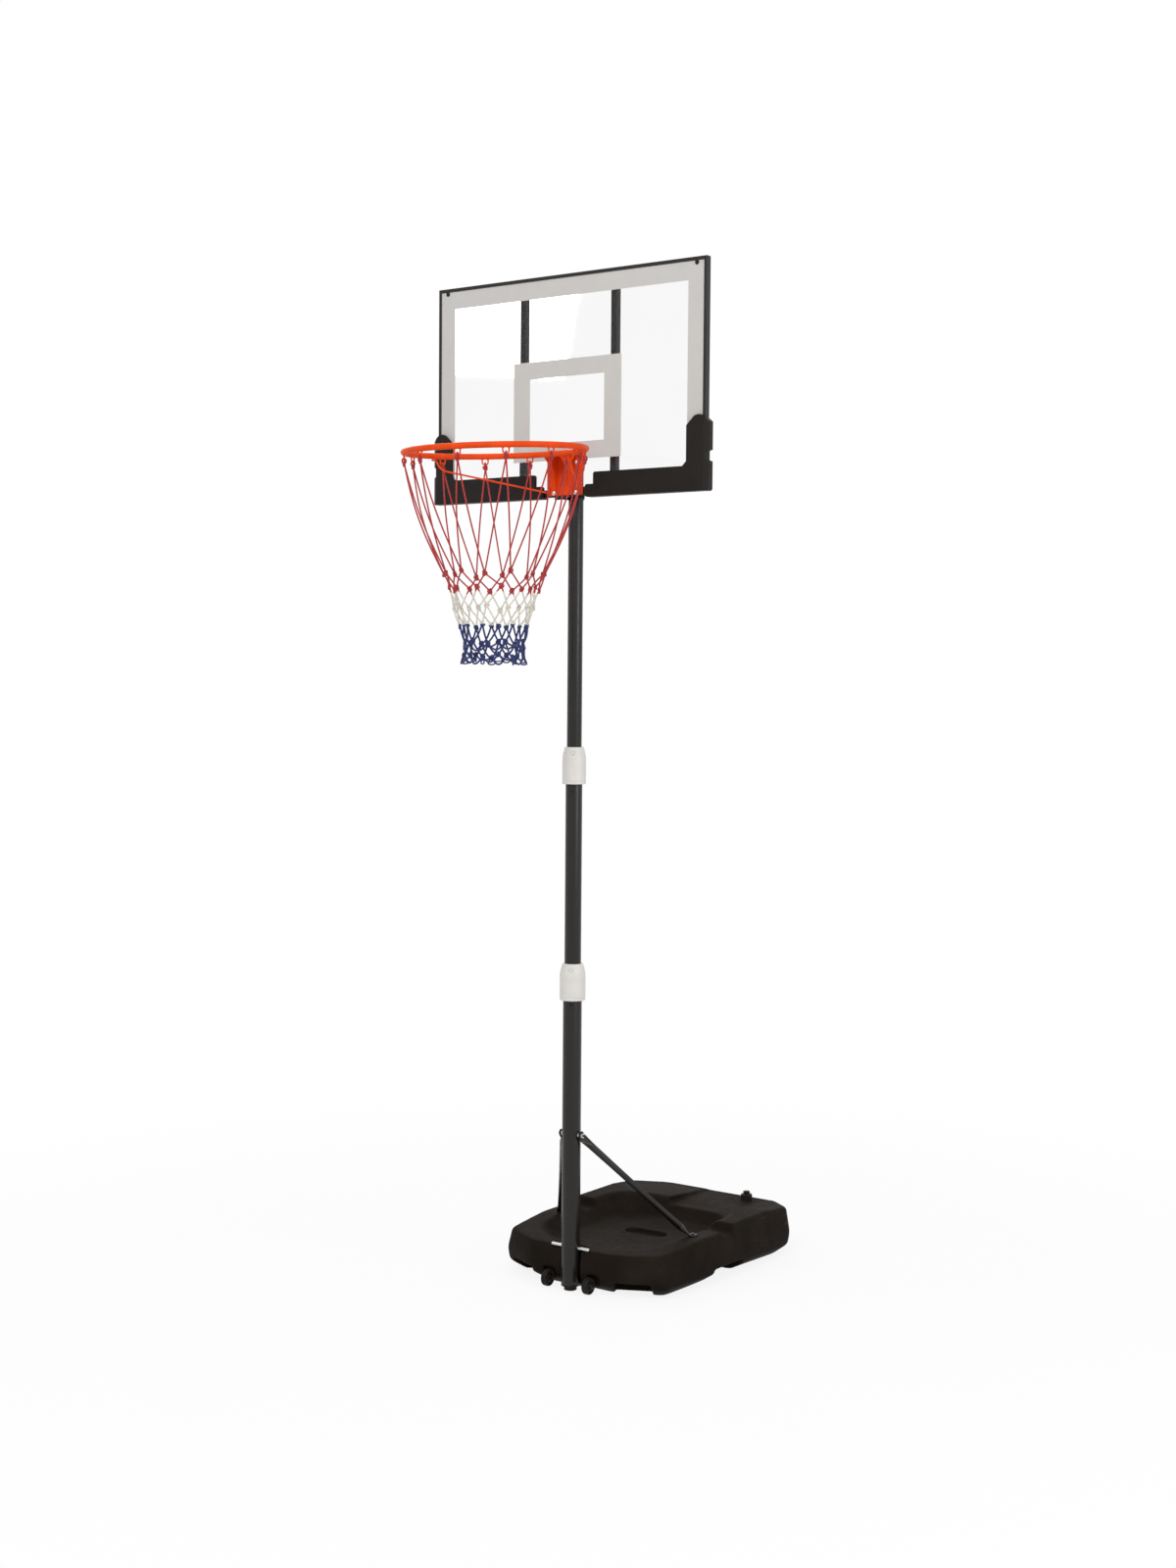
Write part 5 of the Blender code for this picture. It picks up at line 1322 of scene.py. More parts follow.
@dataclass
class Wheels:
    """The two small wheels, their axle and its end caps."""

    bore: float = 0.0045
    section: tuple[Pair, ...] = (
        (0.40, 1.0), (0.45, 0.62), (0.76, 0.62), (0.83, 0.92), (0.95, 0.92), (1.0, 0.62),
    )
    rounding: float = 0.0010
    spokes: int = 6
    pocket: Triple = (0.47, 0.75, 0.03)
    pocket_depth: float = 0.42
    spoke_width: Pair = (0.4, 2.0)
    tread_start: float = 0.985
    lugs: int = 36
    lug_steepness: float = 3.0
    lug_depth: float = 0.0008
    cap_bore: float = 0.0043
    cap_dome: float = 0.003
    axle_chamfer: float = 0.0005
    columns: int = 288
    bar_columns: int = 48

    def wheel(self, side: str, body: Body) -> None:
        """Turns a wheel. Shallow pockets between the spokes sink the disc where
        cos(spokes a) is low, and grooves cross the tread where cos(lugs a) is low.

        Args:
            side: left or right.
            body: the body that it rides on.
        """
        node = "wheel_" + side
        at, low, high, radius = turned_node(node, Axis.X)
        corners = np.array([(self.bore, 1.0)] + [(radius * r, h) for r, h in self.section])
        corners[:, 1] *= (high - low) / 2
        mirrored = corners[::-1] * np.array([1, -1])
        profile = eased(np.concatenate([corners, mirrored]), self.rounding, 4, closed=True)
        angle = np.linspace(0, TAU, self.columns, endpoint=False)[None, :]
        r, h = profile[:, :1], profile[:, 1:]
        tread = np.clip(np.cos(self.lugs * angle) * self.lug_steepness, -1, 0)
        reach = r + (r > radius * self.tread_start) * tread * self.lug_depth
        start, end, soft = (radius * share for share in self.pocket)
        width, sharpness = self.spoke_width
        pocket = np.clip((r - start) / soft, 0, 1) * np.clip((end - r) / soft, 0, 1)
        pocket = pocket * np.clip(width - np.cos(self.spokes * angle) * sharpness, 0, 1)
        sunk = h * (1 - self.pocket_depth * pocket)
        points = along_axis(reach * np.cos(angle), sunk + (low + high) / 2,
                            reach * np.sin(angle), Axis.X)
        build_piece(node + "_dressed", [quad_grid(points + at, along=True)], PLASTIC_BLACK, body,
                    (node,))

    def end_cap(self, side: str) -> None:
        """A domed cap on an end of the axle: height follows sqrt(1 - (r/R)^2) past its skirt.

        Args:
            side: left or right.
        """
        node = "axle_cap_" + side
        at, low, high, radius = turned_node(node, Axis.X)
        way, inner, outer = (-1, high, low) if side == "left" else (1, low, high)
        share = np.sin(np.linspace(0, math.pi / 2, 12))
        fall = way * self.cap_dome * (1 - np.sqrt(1 - share**2))
        socket = inner + way * self.cap_dome
        profile = np.concatenate([
            np.stack([radius * share, outer - fall], -1),
            [(radius, inner), (self.cap_bore, inner), (self.cap_bore, socket), (0, socket)],
        ])
        surface = lathe(profile, at, Axis.X, self.bar_columns)
        build_piece(node + "_dressed", [surface], PLASTIC_BLACK, Body.BASE, (node,))

    def plain_bar(self, node: str, chamfer: float, finish: Finish) -> None:
        """A round bar along X with chamfered ends.

        Args:
            node: the CAD bar.
            chamfer: how far its ends are rounded.
            finish: its finish.
        """
        at, low, high, radius = turned_node(node, Axis.X)
        corners = np.array([(0, low), (radius, low), (radius, high), (0, high)])
        surface = lathe(eased(corners, chamfer, 3), at, Axis.X, self.bar_columns)
        build_piece(node + "_dressed", [surface], finish, Body.BASE, (node,))

    def build(self) -> None:
        """Makes the wheels, their end caps and their axle."""
        for side, body in (("left", Body.WHEEL_LEFT), ("right", Body.WHEEL_RIGHT)):
            self.wheel(side, body)
            self.end_cap(side)
        self.plain_bar("wheel_axle", self.axle_chamfer, STEEL_BLACK)


@dataclass
class Pole:
    """The three telescopic tubes, their end caps, the collars and the lock buttons."""

    tube_radii: Triple = (0.026, 0.023, 0.0205)
    pin_heights: Pair = (0.803, 1.390)
    pin_radius: float = 0.004
    wall: float = 0.0015
    tube_edge: float = 0.0005
    seam: Pair = (0.0004, 0.05)
    play: Pair = (0.0003, 0.0004)
    bulge: float = 0.0098
    lip: float = 0.0065
    lip_edge: Pair = (0.0004, 0.0030)
    taper: float = 0.032
    shoulder: Pair = (0.88, 0.72)
    straight: float = 0.004
    groove: Four = (0.0092, 0.0086, 0.0078, 0.0072)
    groove_depth: float = 0.0009
    foot_edge: float = 0.0012
    skirt: float = 0.0343
    collar_rounding: tuple[float, ...] = (
        0.0008, 0.0018, 0.003, 0.010, 0.008, 0.0004, 0.0003, 0.0003, 0.0006, 0.0012, 0.0012,
        0.0006, 0.0005, 0.0005,
    )
    button_radius: float = 0.0055
    button_play: float = 0.0004
    button_cut: float = 0.01
    button_face: tuple[Pair, ...] = (
        (0, 0.0007), (0.60, 0.0005), (0.80, 0), (1.0, 0.0014),
    )
    button_rounding: float = 0.0009
    foot_nub: Pair = (0.018, 0.012)
    cap_wall: float = 0.0018
    cap_flange: float = 0.004
    top_dome: tuple[Pair, ...] = ((0, 0), (0.8, 0.0002), (1.0, 0.0022))
    cap_rounding: float = 0.0012
    rod_chamfer: float = 0.0008
    crease: float = 34
    tube_columns: int = 128
    collar_columns: int = 160
    button_columns: int = 48

    def tube(self, node: str, body: Body, pin_height: float | None = None) -> None:
        """A tube with rounded edges and a weld seam inside, at its rear:
        depth times exp(-((a - pi / 2) / width)^2).

        Args:
            node: the CAD tube.
            body: the body that it rides on.
            pin_height: height of a locking hole on the buttons' side, if it has one.
        """
        _, low, high, radius = turned_node(node, Axis.Z)
        bore = radius - self.wall
        corners = np.array([(bore, low), (radius, low), (radius, high), (bore, high)])
        profile = eased(corners, self.tube_edge, 3, closed=True)
        depth, width = self.seam

        def seam(angle: np.ndarray, ring: np.ndarray, height: np.ndarray) -> np.ndarray:
            """A raised line of weld on the inner wall."""
            inside = (ring < radius - self.wall * 0.6) * depth
            return -inside * np.exp(-(((angle - math.pi / 2) / width) ** 2)) + 0 * height

        whole = lathe(profile, segments=self.tube_columns, relief=seam, closed=True)
        if pin_height is None:
            build_piece(node + "_dressed", [whole], STEEL_BLACK, body, (node,))
            return
        turn = self.button_place("lower")[1]
        hole = peg(self.pin_radius, radius / 2, radius * 2, turn, pin_height)
        self.holed(node, whole, hole, STEEL_BLACK, body)

    def holed(self, node: str, whole: Surface, hole: Surface, finish: Finish, body: Body) -> None:
        """Cuts a hole in a piece and dresses it.

        Args:
            node: the CAD node that the piece replaces.
            whole: the piece's surface.
            hole: what is cut from it.
            finish: its finish.
            body: the body that it rides on.
        """
        mesh = carved(node + "_dressed", whole, [hole])
        settle(mesh, self.crease)
        dress(bpy.data.objects.new(mesh.name, mesh), finish, body, (node,))

    def collar(self, label: str, outer: float, inner: float, body: Body, button: Body) -> None:
        """A collar with a tapered top, a groove over its lower edge, and its button in a hole.

        Args:
            label: lower or upper.
            outer: radius of the tube that carries it.
            inner: radius of the tube that slides in it.
            body: the body that it rides on.
            button: the body of its button.
        """
        node = "collar_" + label
        low, high = box_of(node)[:, 2]
        bulge, lip = outer + self.bulge, inner + self.lip
        mount, bore = outer + self.play[0], inner + self.play[1]
        lip_in, lip_down = self.lip_edge
        wide, fall = self.shoulder
        above, top, foot, below = (low + rise for rise in self.groove)
        sunk, edge = bulge - self.groove_depth, self.foot_edge
        outline = [
            (bore, high), (lip - lip_in, high), (lip, high - lip_down),
            (lip + (bulge - lip) * wide, high - self.taper * fall),
            (bulge, high - self.taper - self.straight), (bulge, above), (sunk, top), (sunk, foot),
            (bulge, below), (bulge, low + edge), (bulge - edge, low), (mount, low),
            (mount, low + self.skirt), (bore, low + self.skirt),
        ]
        profile = eased(np.array(outline), np.array(self.collar_rounding), 6, closed=True)
        face, turn, near, far = self.button_place(label)
        hole = peg(self.button_radius + self.button_play, inner, far + self.button_cut, turn, face)
        whole = lathe(profile, segments=self.collar_columns, closed=True)
        self.holed(node, whole, hole, PLASTIC_WHITE, body)
        radius = self.button_radius
        outline = [(radius * share, far - sunk) for share, sunk in self.button_face]
        profile = eased(np.array(outline + [(radius, near), (0, near)]), self.button_rounding, 5)
        push = upright_turn(lathe(profile, segments=self.button_columns), turn, face)
        node = "lock_button_" + label
        build_piece(node + "_dressed", [push], PLASTIC_WHITE, button, (node,))

    def button_place(self, label: str) -> Four:
        """Where a CAD button lies.

        Args:
            label: lower or upper.

        Returns:
            Its height, its direction from the pole, and the nearest and farthest that it reaches.
        """
        points = points_of(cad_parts["lock_button_" + label].data)
        middle = (points.min(axis=0) + points.max(axis=0)) / 2
        along = points[:, :2] @ (middle[:2] / np.linalg.norm(middle[:2]))
        return middle[2], math.atan2(middle[1], middle[0]), along.min(), along.max()

    def caps(self) -> None:
        """The foot cap with its nub, and the domed cap on the pole's top."""
        _, _, high, radius = turned_node("pole_foot_cap", Axis.Z)
        nub, rise = self.foot_nub
        plug, flange = radius - self.cap_wall, rise + self.cap_flange
        outline = [(0, high), (plug, high), (plug, flange), (radius, flange), (radius, rise),
                   (nub, rise), (nub, 0.0), (0, 0.0)]
        surface = lathe(eased(np.array(outline), self.cap_rounding, 4))
        build_piece("pole_foot_dressed", [surface], PLASTIC_BLACK, Body.BASE, ("pole_foot_cap",))
        _, low, high, radius = turned_node("pole_top_cap", Axis.Z)
        plug, flange = radius - self.cap_wall, high - self.cap_flange
        outline = [(radius * share, high - fall) for share, fall in self.top_dome]
        outline += [(radius, flange), (plug, flange), (plug, low), (0, low)]
        surface = lathe(eased(np.array(outline), self.cap_rounding, 4))
        build_piece("pole_top_dressed", [surface], PLASTIC_BLACK, Body.UPPER, ("pole_top_cap",))

    def build(self) -> None:
        """Makes the tubes, caps, collars, buttons and the cross rod."""
        lower, middle, upper = self.tube_radii
        self.tube("pole_lower", Body.BASE, self.pin_heights[0])
        self.tube("pole_middle", Body.MIDDLE, self.pin_heights[1])
        self.tube("pole_upper", Body.UPPER)
        self.caps()
        self.collar("lower", lower, middle, Body.BASE, Body.BUTTON_LOWER)
        self.collar("upper", middle, upper, Body.MIDDLE, Body.BUTTON_UPPER)
        Wheels().plain_bar("pole_rod", self.rod_chamfer, ZINC)


@dataclass
class Struts:
    """The two splayed struts, round in the middle and pressed flat at both ends."""

    top_height: float = 0.437
    foot: Pair = (0.232, 0.266)
    tab: Pair = (0.0125, 0.002)
    tab_nose: float = 0.3
    tab_squareness: float = 0.35
    radius: float = 0.010
    tab_length: float = 0.010
    taper: float = 0.032
    bends: Pair = (0.008, 0.010)
    pole_radius: float = 0.026
    washer: float = 0.004
    deck: float = 0.132
    gaps: Pair = (0.0006, 0.0003)
    columns: int = 40
    crease: float = 50

    def strut(self, side: int) -> Surface:
        """Carries a section along one strut. Between its round middle and its flat ends the
        section's two half sizes and its thin direction follow t^2 (3 - 2 t), and the ends are
        round. The section's point at angle a is cos and sin of a, each to a power below 1 that
        squares it off where it is flat.

        Args:
            side: -1 for the left strut, or 1 for the right one.

        Returns:
            The strut as a closed surface.
        """
        wide, thin = self.tab
        bolt_gap, deck_gap = self.gaps
        top = np.array([side * (self.pole_radius + self.washer + bolt_gap + thin), 0,
                        self.top_height])
        foot = np.array([side * self.foot[0], self.foot[1], self.deck + deck_gap + thin])
        run = foot - top
        slope, heading = unit(run * (0, 1, 1)), unit(run * (1, 1, 0))
        top_bend, foot_bend = top + slope * self.tab_length, foot - heading * self.tab_length
        along = unit(foot_bend - top_bend)
        nose = wide * self.tab_nose
        spots = np.array([top - slope * wide, top - slope * nose, top_bend,
                          top_bend + along * self.taper, foot_bend - along * self.taper,
                          foot_bend, foot + heading * nose, foot + heading * wide])
        tight, gentle = self.bends
        path = eased(spots, np.array([0, 0, tight, gentle, gentle, tight, 0, 0]), 6)
        gaps = np.stack([(path - top) @ slope, (path - foot) @ -heading])
        t = np.clip((gaps - self.tab_length) / self.taper, 0, 1)
        roundness = (t * t * (3 - 2 * t)).min(axis=0)[:, None]
        tip = np.clip(np.abs(gaps + wide).min(axis=0) / wide, 0, 1)
        nose = np.sqrt(np.clip(1 - (1 - tip) ** 2, 0.02, 1))[:, None]
        upper_half = (np.arange(len(path)) < len(path) / 2)[:, None]
        flat_way = np.where(upper_half, np.array([side, 0, 0.0]), UP)
        round_way = square_to(along, flat_way)
        direction = unit(np.gradient(path, axis=0))
        thick = square_to(direction, flat_way * (1 - roundness) + round_way * roundness)
        half_wide = (wide + (self.radius - wide) * roundness) * nose
        half_thin = thin + (self.radius - thin) * roundness
        angle = np.linspace(0, TAU, self.columns, endpoint=False)[None, :, None]
        power = self.tab_squareness + (1 - self.tab_squareness) * roundness[:, :, None]
        c, s = (np.sign(wave) * np.abs(wave) ** power for wave in (np.cos(angle), np.sin(angle)))
        rings = path[:, None] + (np.cross(direction, thick) * half_wide)[:, None] * c
        rings = rings + (thick * half_thin)[:, None] * s
        ends = np.repeat(rings[[0, -1]].mean(axis=1, keepdims=True), rings.shape[1], axis=1)
        return quad_grid(np.concatenate([ends[:1], rings, ends[1:]]))

    def build(self) -> None:
        """Makes both struts."""
        for side, label in SIDES:
            node = "strut_" + label
            build_piece(node + "_dressed", [self.strut(side)], STEEL_BLACK, Body.BASE, (node,),
                        self.crease)


@dataclass
class Board:
    """The clear board with its printed border and target, its frame and its covers."""

    width: float = 0.900
    height: float = 0.600
    bottom: float = 2.193
    border: float = 0.0585
    border_foot: float = 0.006
    lip: float = 0.006
    target_half_width: float = 0.181
    target_height: float = 0.272
    target_rise: float = 0.100
    target_lines: Pair = (0.056, 0.047)
    ink: float = 0.00010
    ink_gap: float = 0.0002
    edges: Four = (0.0004, 0.0009, 0.0012, 0.0030)

    def band(self, path: list, inner: list, front: float) -> Surface:
        """A flat band of ink between two lines of X and Z points.

        Args:
            path: the band's outer line.
            inner: its inner line, with as many points.
            front: the Y of its face.

        Returns:
            The band as a closed surface, or as a closed ring where the lines end where they began.
        """
        back = front + self.ink
        stations = np.array([
            [(a[0], front, a[1]), (b[0], front, b[1]), (b[0], back, b[1]), (a[0], back, a[1])]
            for a, b in zip(path, inner)
        ])
        if path[0] == path[-1]:
            return quad_grid(stations[:-1], along=True)
        return bar(stations)

    def build_print(self) -> None:
        """The border on three sides and the target rectangle, just in front of the sheet."""
        front = box_of("board_panel")[0][1] - self.ink_gap
        half, top, foot = self.width / 2, self.bottom + self.height, self.bottom + self.border_foot
        outer, inner = ([(inset - half, foot), (inset - half, top - inset),
                         (half - inset, top - inset), (half - inset, foot)]
                        for inset in (self.lip, self.border))
        build_piece("printed_border", [self.band(outer, inner, front)], PRINT, Body.UPPER)
        low = self.bottom + self.target_rise
        high = low + self.target_height
        outer, inner = ([(-x, low + level), (x, low + level), (x, high - level),
                         (-x, high - level), (-x, low + level)]
                        for x, level in ((self.target_half_width, 0.0),
                                         (self.target_half_width - self.target_lines[0],
                                          self.target_lines[1])))
        build_piece("printed_target", [self.band(outer, inner, front)], PRINT, Body.UPPER)

    def build(self) -> None:
        """Makes the sheet, the print, the frame's rails, the uprights and the covers."""
        sheet, rail, upright, cover = self.edges
        softened("board_panel", "clear_panel", CLEAR, Body.UPPER, sheet, 2)
        self.build_print()
        for side in ("bottom", "top", "left", "right"):
            softened("rail_" + side, "frame_" + side, STEEL_BLACK, Body.UPPER, rail, 3)
        for _, side in SIDES:
            softened("upright_" + side, "rear_bar_" + side, STEEL_BLACK, Body.UPPER, upright, 3)
            softened("cover_" + side, "corner_cover_" + side, PLASTIC_BLACK, Body.UPPER, cover, 4)


@dataclass
class Rim:
    """The round bar of the rim with its hooks, bracket, braces and clamps."""

    radius: float = 0.2365
    bar: float = 0.008
    centre: Triple = (0.0, -0.357, 2.289)
    droop: float = math.radians(3.0)
    hooks: int = 12
    hook_wire: float = 0.0020
    hook_half_span: float = 0.008
    hook_drop: float = 0.013
    hook_bend: float = 0.0045
    hook_floor: float = 0.72
    hook_root: float = 1.4
    bead_reach: float = 0.44
    bead_rise: float = 0.0008
    bead_radius: float = 0.0030
    brace: float = 0.0025
    brace_turn: float = math.radians(9.5)
    brace_start: float = 0.014
    brace_knee: Pair = (0.020, 0.028)
    brace_foot: Triple = (0.050, -0.0523, 2.204)
    brace_tail: float = 0.014
    brace_gap: float = 0.0003
    brace_bends: tuple[float, ...] = (0, 0.008, 0.018, 0.008, 0)
    edges: Pair = (0.0008, 0.0005)
    crease: float = 50
    ring_sides: tuple[int, int] = (288, 28)
    wire_sides: int = 12
    brace_sides: int = 20

    def plane_point(
        self, angle: np.ndarray | float, radius: np.ndarray | float, drop: np.ndarray | float
    ) -> np.ndarray:
        """Points of the rim's own plane, tipped down at the front and moved to the rim's middle.

        Args:
            angle: the angle from +X towards the rear.
            radius: the distance from the rim's middle.
            drop: how far the point lies below the bar's middle.

        Returns:
            Array of the inputs' shape by 3.
        """
        angle, radius, drop = np.broadcast_arrays(angle, radius, drop)
        flat = np.stack([radius * np.cos(angle), radius * np.sin(angle), -drop], -1)
        return turned_about_x(flat, self.droop) + np.array(self.centre)

    def outward(self, angle: np.ndarray) -> np.ndarray:
        """The direction away from the rim's middle at each angle, in the rim's plane."""
        flat = np.stack([np.cos(angle), np.sin(angle), 0 * angle], -1)
        return turned_about_x(flat, self.droop)

    def build_ring(self) -> None:
        """The ring is a circle carried round a circle. Each hook is a U of wire under it, and its
        feet run into small beads of weld, which are circles carried along short arcs.
        """
        stations, sides = self.ring_sides
        circle = self.plane_point(np.linspace(0, TAU, stations, endpoint=False), self.radius, 0.0)
        surfaces = [sweep(circle, turned_about_x(UP, self.droop), self.bar, sides, closed=True)]
        angles = TAU * (np.arange(self.hooks) + 0.5) / self.hooks
        outward = self.outward(angles)[:, None]
        half = self.hook_half_span / self.radius
        low = self.bar + self.hook_drop
        root, bend = self.bar - self.hook_wire * self.hook_root, low - self.hook_bend
        shares = np.array([-1, -1, -self.hook_floor, self.hook_floor, 1, 1])
        drops = np.array([root, bend, low, low, bend, root])
        path = self.plane_point(angles[:, None] + half * shares, self.radius, drops)
        sides = self.wire_sides
        surfaces.append(sweep(eased(path, self.hook_bend, 5), outward, self.hook_wire, sides))
        share = np.linspace(-1, 1, 7)
        beads = [self.plane_point(angles[:, None] + half * (way + share * self.bead_reach),
                                  self.radius, self.bar - self.bead_rise) for way in (-1, 1)]
        swell = self.bead_radius * np.sqrt(np.clip(1 - share**2, 0.05, 1))
        path, outward = np.concatenate(beads), np.concatenate([outward] * 2)
        surfaces.append(sweep(path, outward, swell, sides))
        for surface in surfaces:
            surface.uv = None
        build_piece("rim_hoop", surfaces, ORANGE, Body.UPPER, ("rim_ring",), self.crease)

    def build_braces(self) -> None:
        """Two bent rods from under the ring to the bracket's foot, with eased bends."""
        hang = self.bar + self.brace + self.brace_gap
        inwards, down = self.brace_knee
        for side, label in SIDES:
            angle = self.brace_turn if side > 0 else math.pi - self.brace_turn
            foot = np.array([side, 1, 1]) * self.brace_foot
            foot[1] -= self.brace + self.brace_gap
            corners = np.array([
                self.plane_point(angle - side * self.brace_start / self.radius, self.radius, hang),
                self.plane_point(angle, self.radius, hang),
                self.plane_point(angle, self.radius - inwards, hang + down),
                foot, foot + UP * self.brace_tail,
            ])
            path = eased(corners, np.array(self.brace_bends), 8)
            reference = np.cross((side, 0.4, 0.2), (0.3 * side, 0.1, 1.0))
            rod = sweep(path, reference, self.brace, self.brace_sides)
            rod.uv = None
            build_piece("brace_rod_" + label, [rod], ORANGE, Body.UPPER, ("rim_brace_" + label,),
                        self.crease)

    def build(self) -> None:
        """Makes the ring, the braces, the bracket and the straps round the pole."""
        self.build_ring()
        self.build_braces()
        plate, strap = self.edges
        softened("rim_bracket", "bracket_plate", ORANGE, Body.UPPER, plate, 3)
        for level in ("upper", "lower"):
            softened("pole_clamp_" + level, "pole_strap_" + level, STEEL_BLACK, Body.UPPER, strap)


@dataclass
class Net:
    """The net: a lattice of braided cord in six rows of meshes, hung from the hooks by loops."""

    rim: Rim
    cord: float = 0.0021
    loose_cord: float = 0.0025
    loose_row: int = 4
    radii: tuple[float, ...] = (0.2365, 0.130, 0.119, 0.104, 0.085, 0.081, 0.082)
    drops: tuple[float, ...] = (0.0, 0.289, 0.327, 0.376, 0.423, 0.467, 0.502)
    first_drop: float = 0.0302
    stray: float = 0.004
    stray_turn: float = 0.045
    bow: Pair = (0.003, 0.012)
    slack: Pair = (0.007, 0.6)
    festoon_swing: Pair = (0.005, 0.004)
    festoon_sag: Pair = (0.016, 0.006)
    knot: Pair = (0.0040, 0.0022)
    knot_height: float = 1.15
    knot_cord: float = 0.92
    hook_loop_half_width: float = 0.0050
    hook_gap: float = 0.0003
    tail_width: float = 0.0110
    tail_drop: Pair = (0.0215, 0.004)
    tail_swing: float = 1.1
    tail_cord: float = 0.95
    stations: int = 13
    knot_stations: int = 40
    hook_loop_stations: int = 28
    tail_stations: int = 32
    sides: int = 10
    knot_sides: int = 8
    crease: float = NO_CREASE

    def knots(self) -> np.ndarray:
        """Knot centres by row and mesh. A row keeps to the rim's tipped plane at the top and to
        level planes lower down, and each knot strays a little, by sines of its row and number.

        Returns:
            Array of rows by meshes by 3.
        """
        count = self.rim.hooks
        row = np.arange(len(self.radii))[:, None]
        number = np.arange(count)[None, :]
        angle = TAU * (number + 0.5 + 0.5 * (row % 2)) / count
        below = np.minimum(row, 1)
        stray = below * self.stray
        radius = np.array(self.radii)[:, None] + stray * np.sin(5.3 * number + 2.1 * row)
        drop = np.array(self.drops)[:, None] + stray * np.sin(3.7 * number + 4.9 * row + 1)
        angle = angle + below * self.stray_turn * np.sin(7.1 * number + 3.3 * row)
        level = np.stack([radius * np.cos(angle), radius * np.sin(angle),
                          -self.first_drop - drop], -1) + np.array(self.rim.centre)
        tipped = self.rim.plane_point(angle, radius, self.first_drop + drop)
        tilt = np.clip(1 - np.array(self.drops) / self.drops[1], 0, 1)[:, None, None]
        return level + (tipped - level) * tilt

    def away(self, points: np.ndarray) -> np.ndarray:
        """Level unit directions from the net's middle line to points."""
        return unit((points - np.array(self.rim.centre)) * (1, 1, 0))

    def strands(self, knots: np.ndarray, rows: range, cord: float, slack: float) -> Surface:
        """Cords from each knot to its two neighbours in the next row.

        Args:
            knots: the knot centres.
            rows: the rows that the cords start from.
            cord: the cord's radius.
            slack: how far the middle of a cord sags.

        Returns:
            All the cords as one surface.
        """
        count = knots.shape[1]
        number = np.arange(count)
        bow, first_bow = self.bow
        starts, ends, bows = [], [], []
        for row in rows:
            shift = row % 2
            for step in (shift, shift - 1):
                starts.append(knots[row])
                ends.append(knots[row + 1][(number + step) % count])
                bows.append(bow * np.sin(2.3 * number + 1.7 * row + step)
                            + (0.0 if row else first_bow))
        spread = self.slack[1]
        sag = slack * (1 + spread * np.sin(1.9 * np.arange(len(rows) * 2 * count)))
        return self.hung(np.concatenate(starts), np.concatenate(ends), np.concatenate(bows), sag,
                         cord)

    def festoons(self, knots: np.ndarray) -> Surface:
        """Loose cords that hang between neighbouring knots of the two lowest rows.

        Args:
            knots: the knot centres.

        Returns:
            All the cords as one surface.
        """
        number = np.arange(knots.shape[1])
        starts = np.concatenate(knots[-2:])
        ends = np.concatenate(np.roll(knots[-2:], -1, axis=1))
        swing, swing_spread = self.festoon_swing
        swing = swing + swing_spread * np.sin(np.concatenate([2.7 * number, 3.1 * number + 1]))
        sag, sag_spread = self.festoon_sag
        sag = sag + sag_spread * np.sin(np.concatenate([1.7 * number, 2.2 * number + 2]))
        return self.hung(starts, ends, swing, sag, self.loose_cord)

    def hung(
        self, start: np.ndarray, end: np.ndarray, bow: np.ndarray, sag: np.ndarray, cord: float
    ) -> Surface:
        """Cords between pairs of points. A point at share t lies at (1-t) A + t B, moved outwards
        by bow sin(pi t) and down by sag sin(pi t).

        Args:
            start: where each cord starts.
            end: where it ends.
            bow: how far it swings outwards.
            sag: how far it sags.
            cord: the cord's radius.

        Returns:
            The cords as one surface.
        """
        t = np.linspace(0, 1, self.stations)[None, :, None]
        away = self.away((start + end) / 2)[:, None]
        arch = np.sin(math.pi * t)
        path = start[:, None] * (1 - t) + end[:, None] * t + away * bow[:, None, None] * arch
        path = path - UP * sag[:, None, None] * arch
        return sweep(path, away, cord, self.sides)

    def wound_knots(self, knots: np.ndarray) -> Surface:
        """A knot is a cord along a squashed three-lobed torus curve:
        ((R + r cos 3s) cos 2s, (R + r cos 3s) sin 2s, r sin 3s).

        Args:
            knots: the knot centres.

        Returns:
            All the knots as one surface.
        """
        centres = knots.reshape(-1, 3)
        s = np.linspace(0, TAU, self.knot_stations, endpoint=False)
        core, wind = self.knot
        reach = core + wind * np.cos(3 * s)
        flat = np.stack([reach * np.cos(2 * s), reach * np.sin(2 * s), wind * np.sin(3 * s)], -1)
        ring = np.stack([core * np.cos(2 * s), core * np.sin(2 * s), 0 * s], -1)
        away = self.away(centres)
        up = np.broadcast_to(UP, away.shape)
        turn = np.stack([np.cross(up, away), up * self.knot_height, away], axis=1)
        return sweep(centres[:, None] + flat @ turn, (flat - ring) @ turn,
                     self.cord * self.knot_cord, self.knot_sides, closed=True)

    def hook_loops(self) -> Surface:
        """An upright oval of cord round each hook's wire, down to the knot below it.

        Returns:
            All the ovals as one surface.
        """
        rim = self.rim
        angle = TAU * (np.arange(rim.hooks) + 0.5) / rim.hooks
        s = np.linspace(0, TAU, self.hook_loop_stations, endpoint=False)
        top = rim.bar + rim.hook_drop - rim.hook_wire - self.cord - self.hook_gap
        drop = (top + self.first_drop) / 2 - (self.first_drop - top) / 2 * np.cos(s)
        radius = rim.radius + self.hook_loop_half_width * np.sin(s)
        path = rim.plane_point(angle[:, None], radius[None], drop[None])
        across = np.stack([-np.sin(angle), np.cos(angle), 0 * angle], -1)[:, None]
        return sweep(path, across, self.cord, self.sides, closed=True)

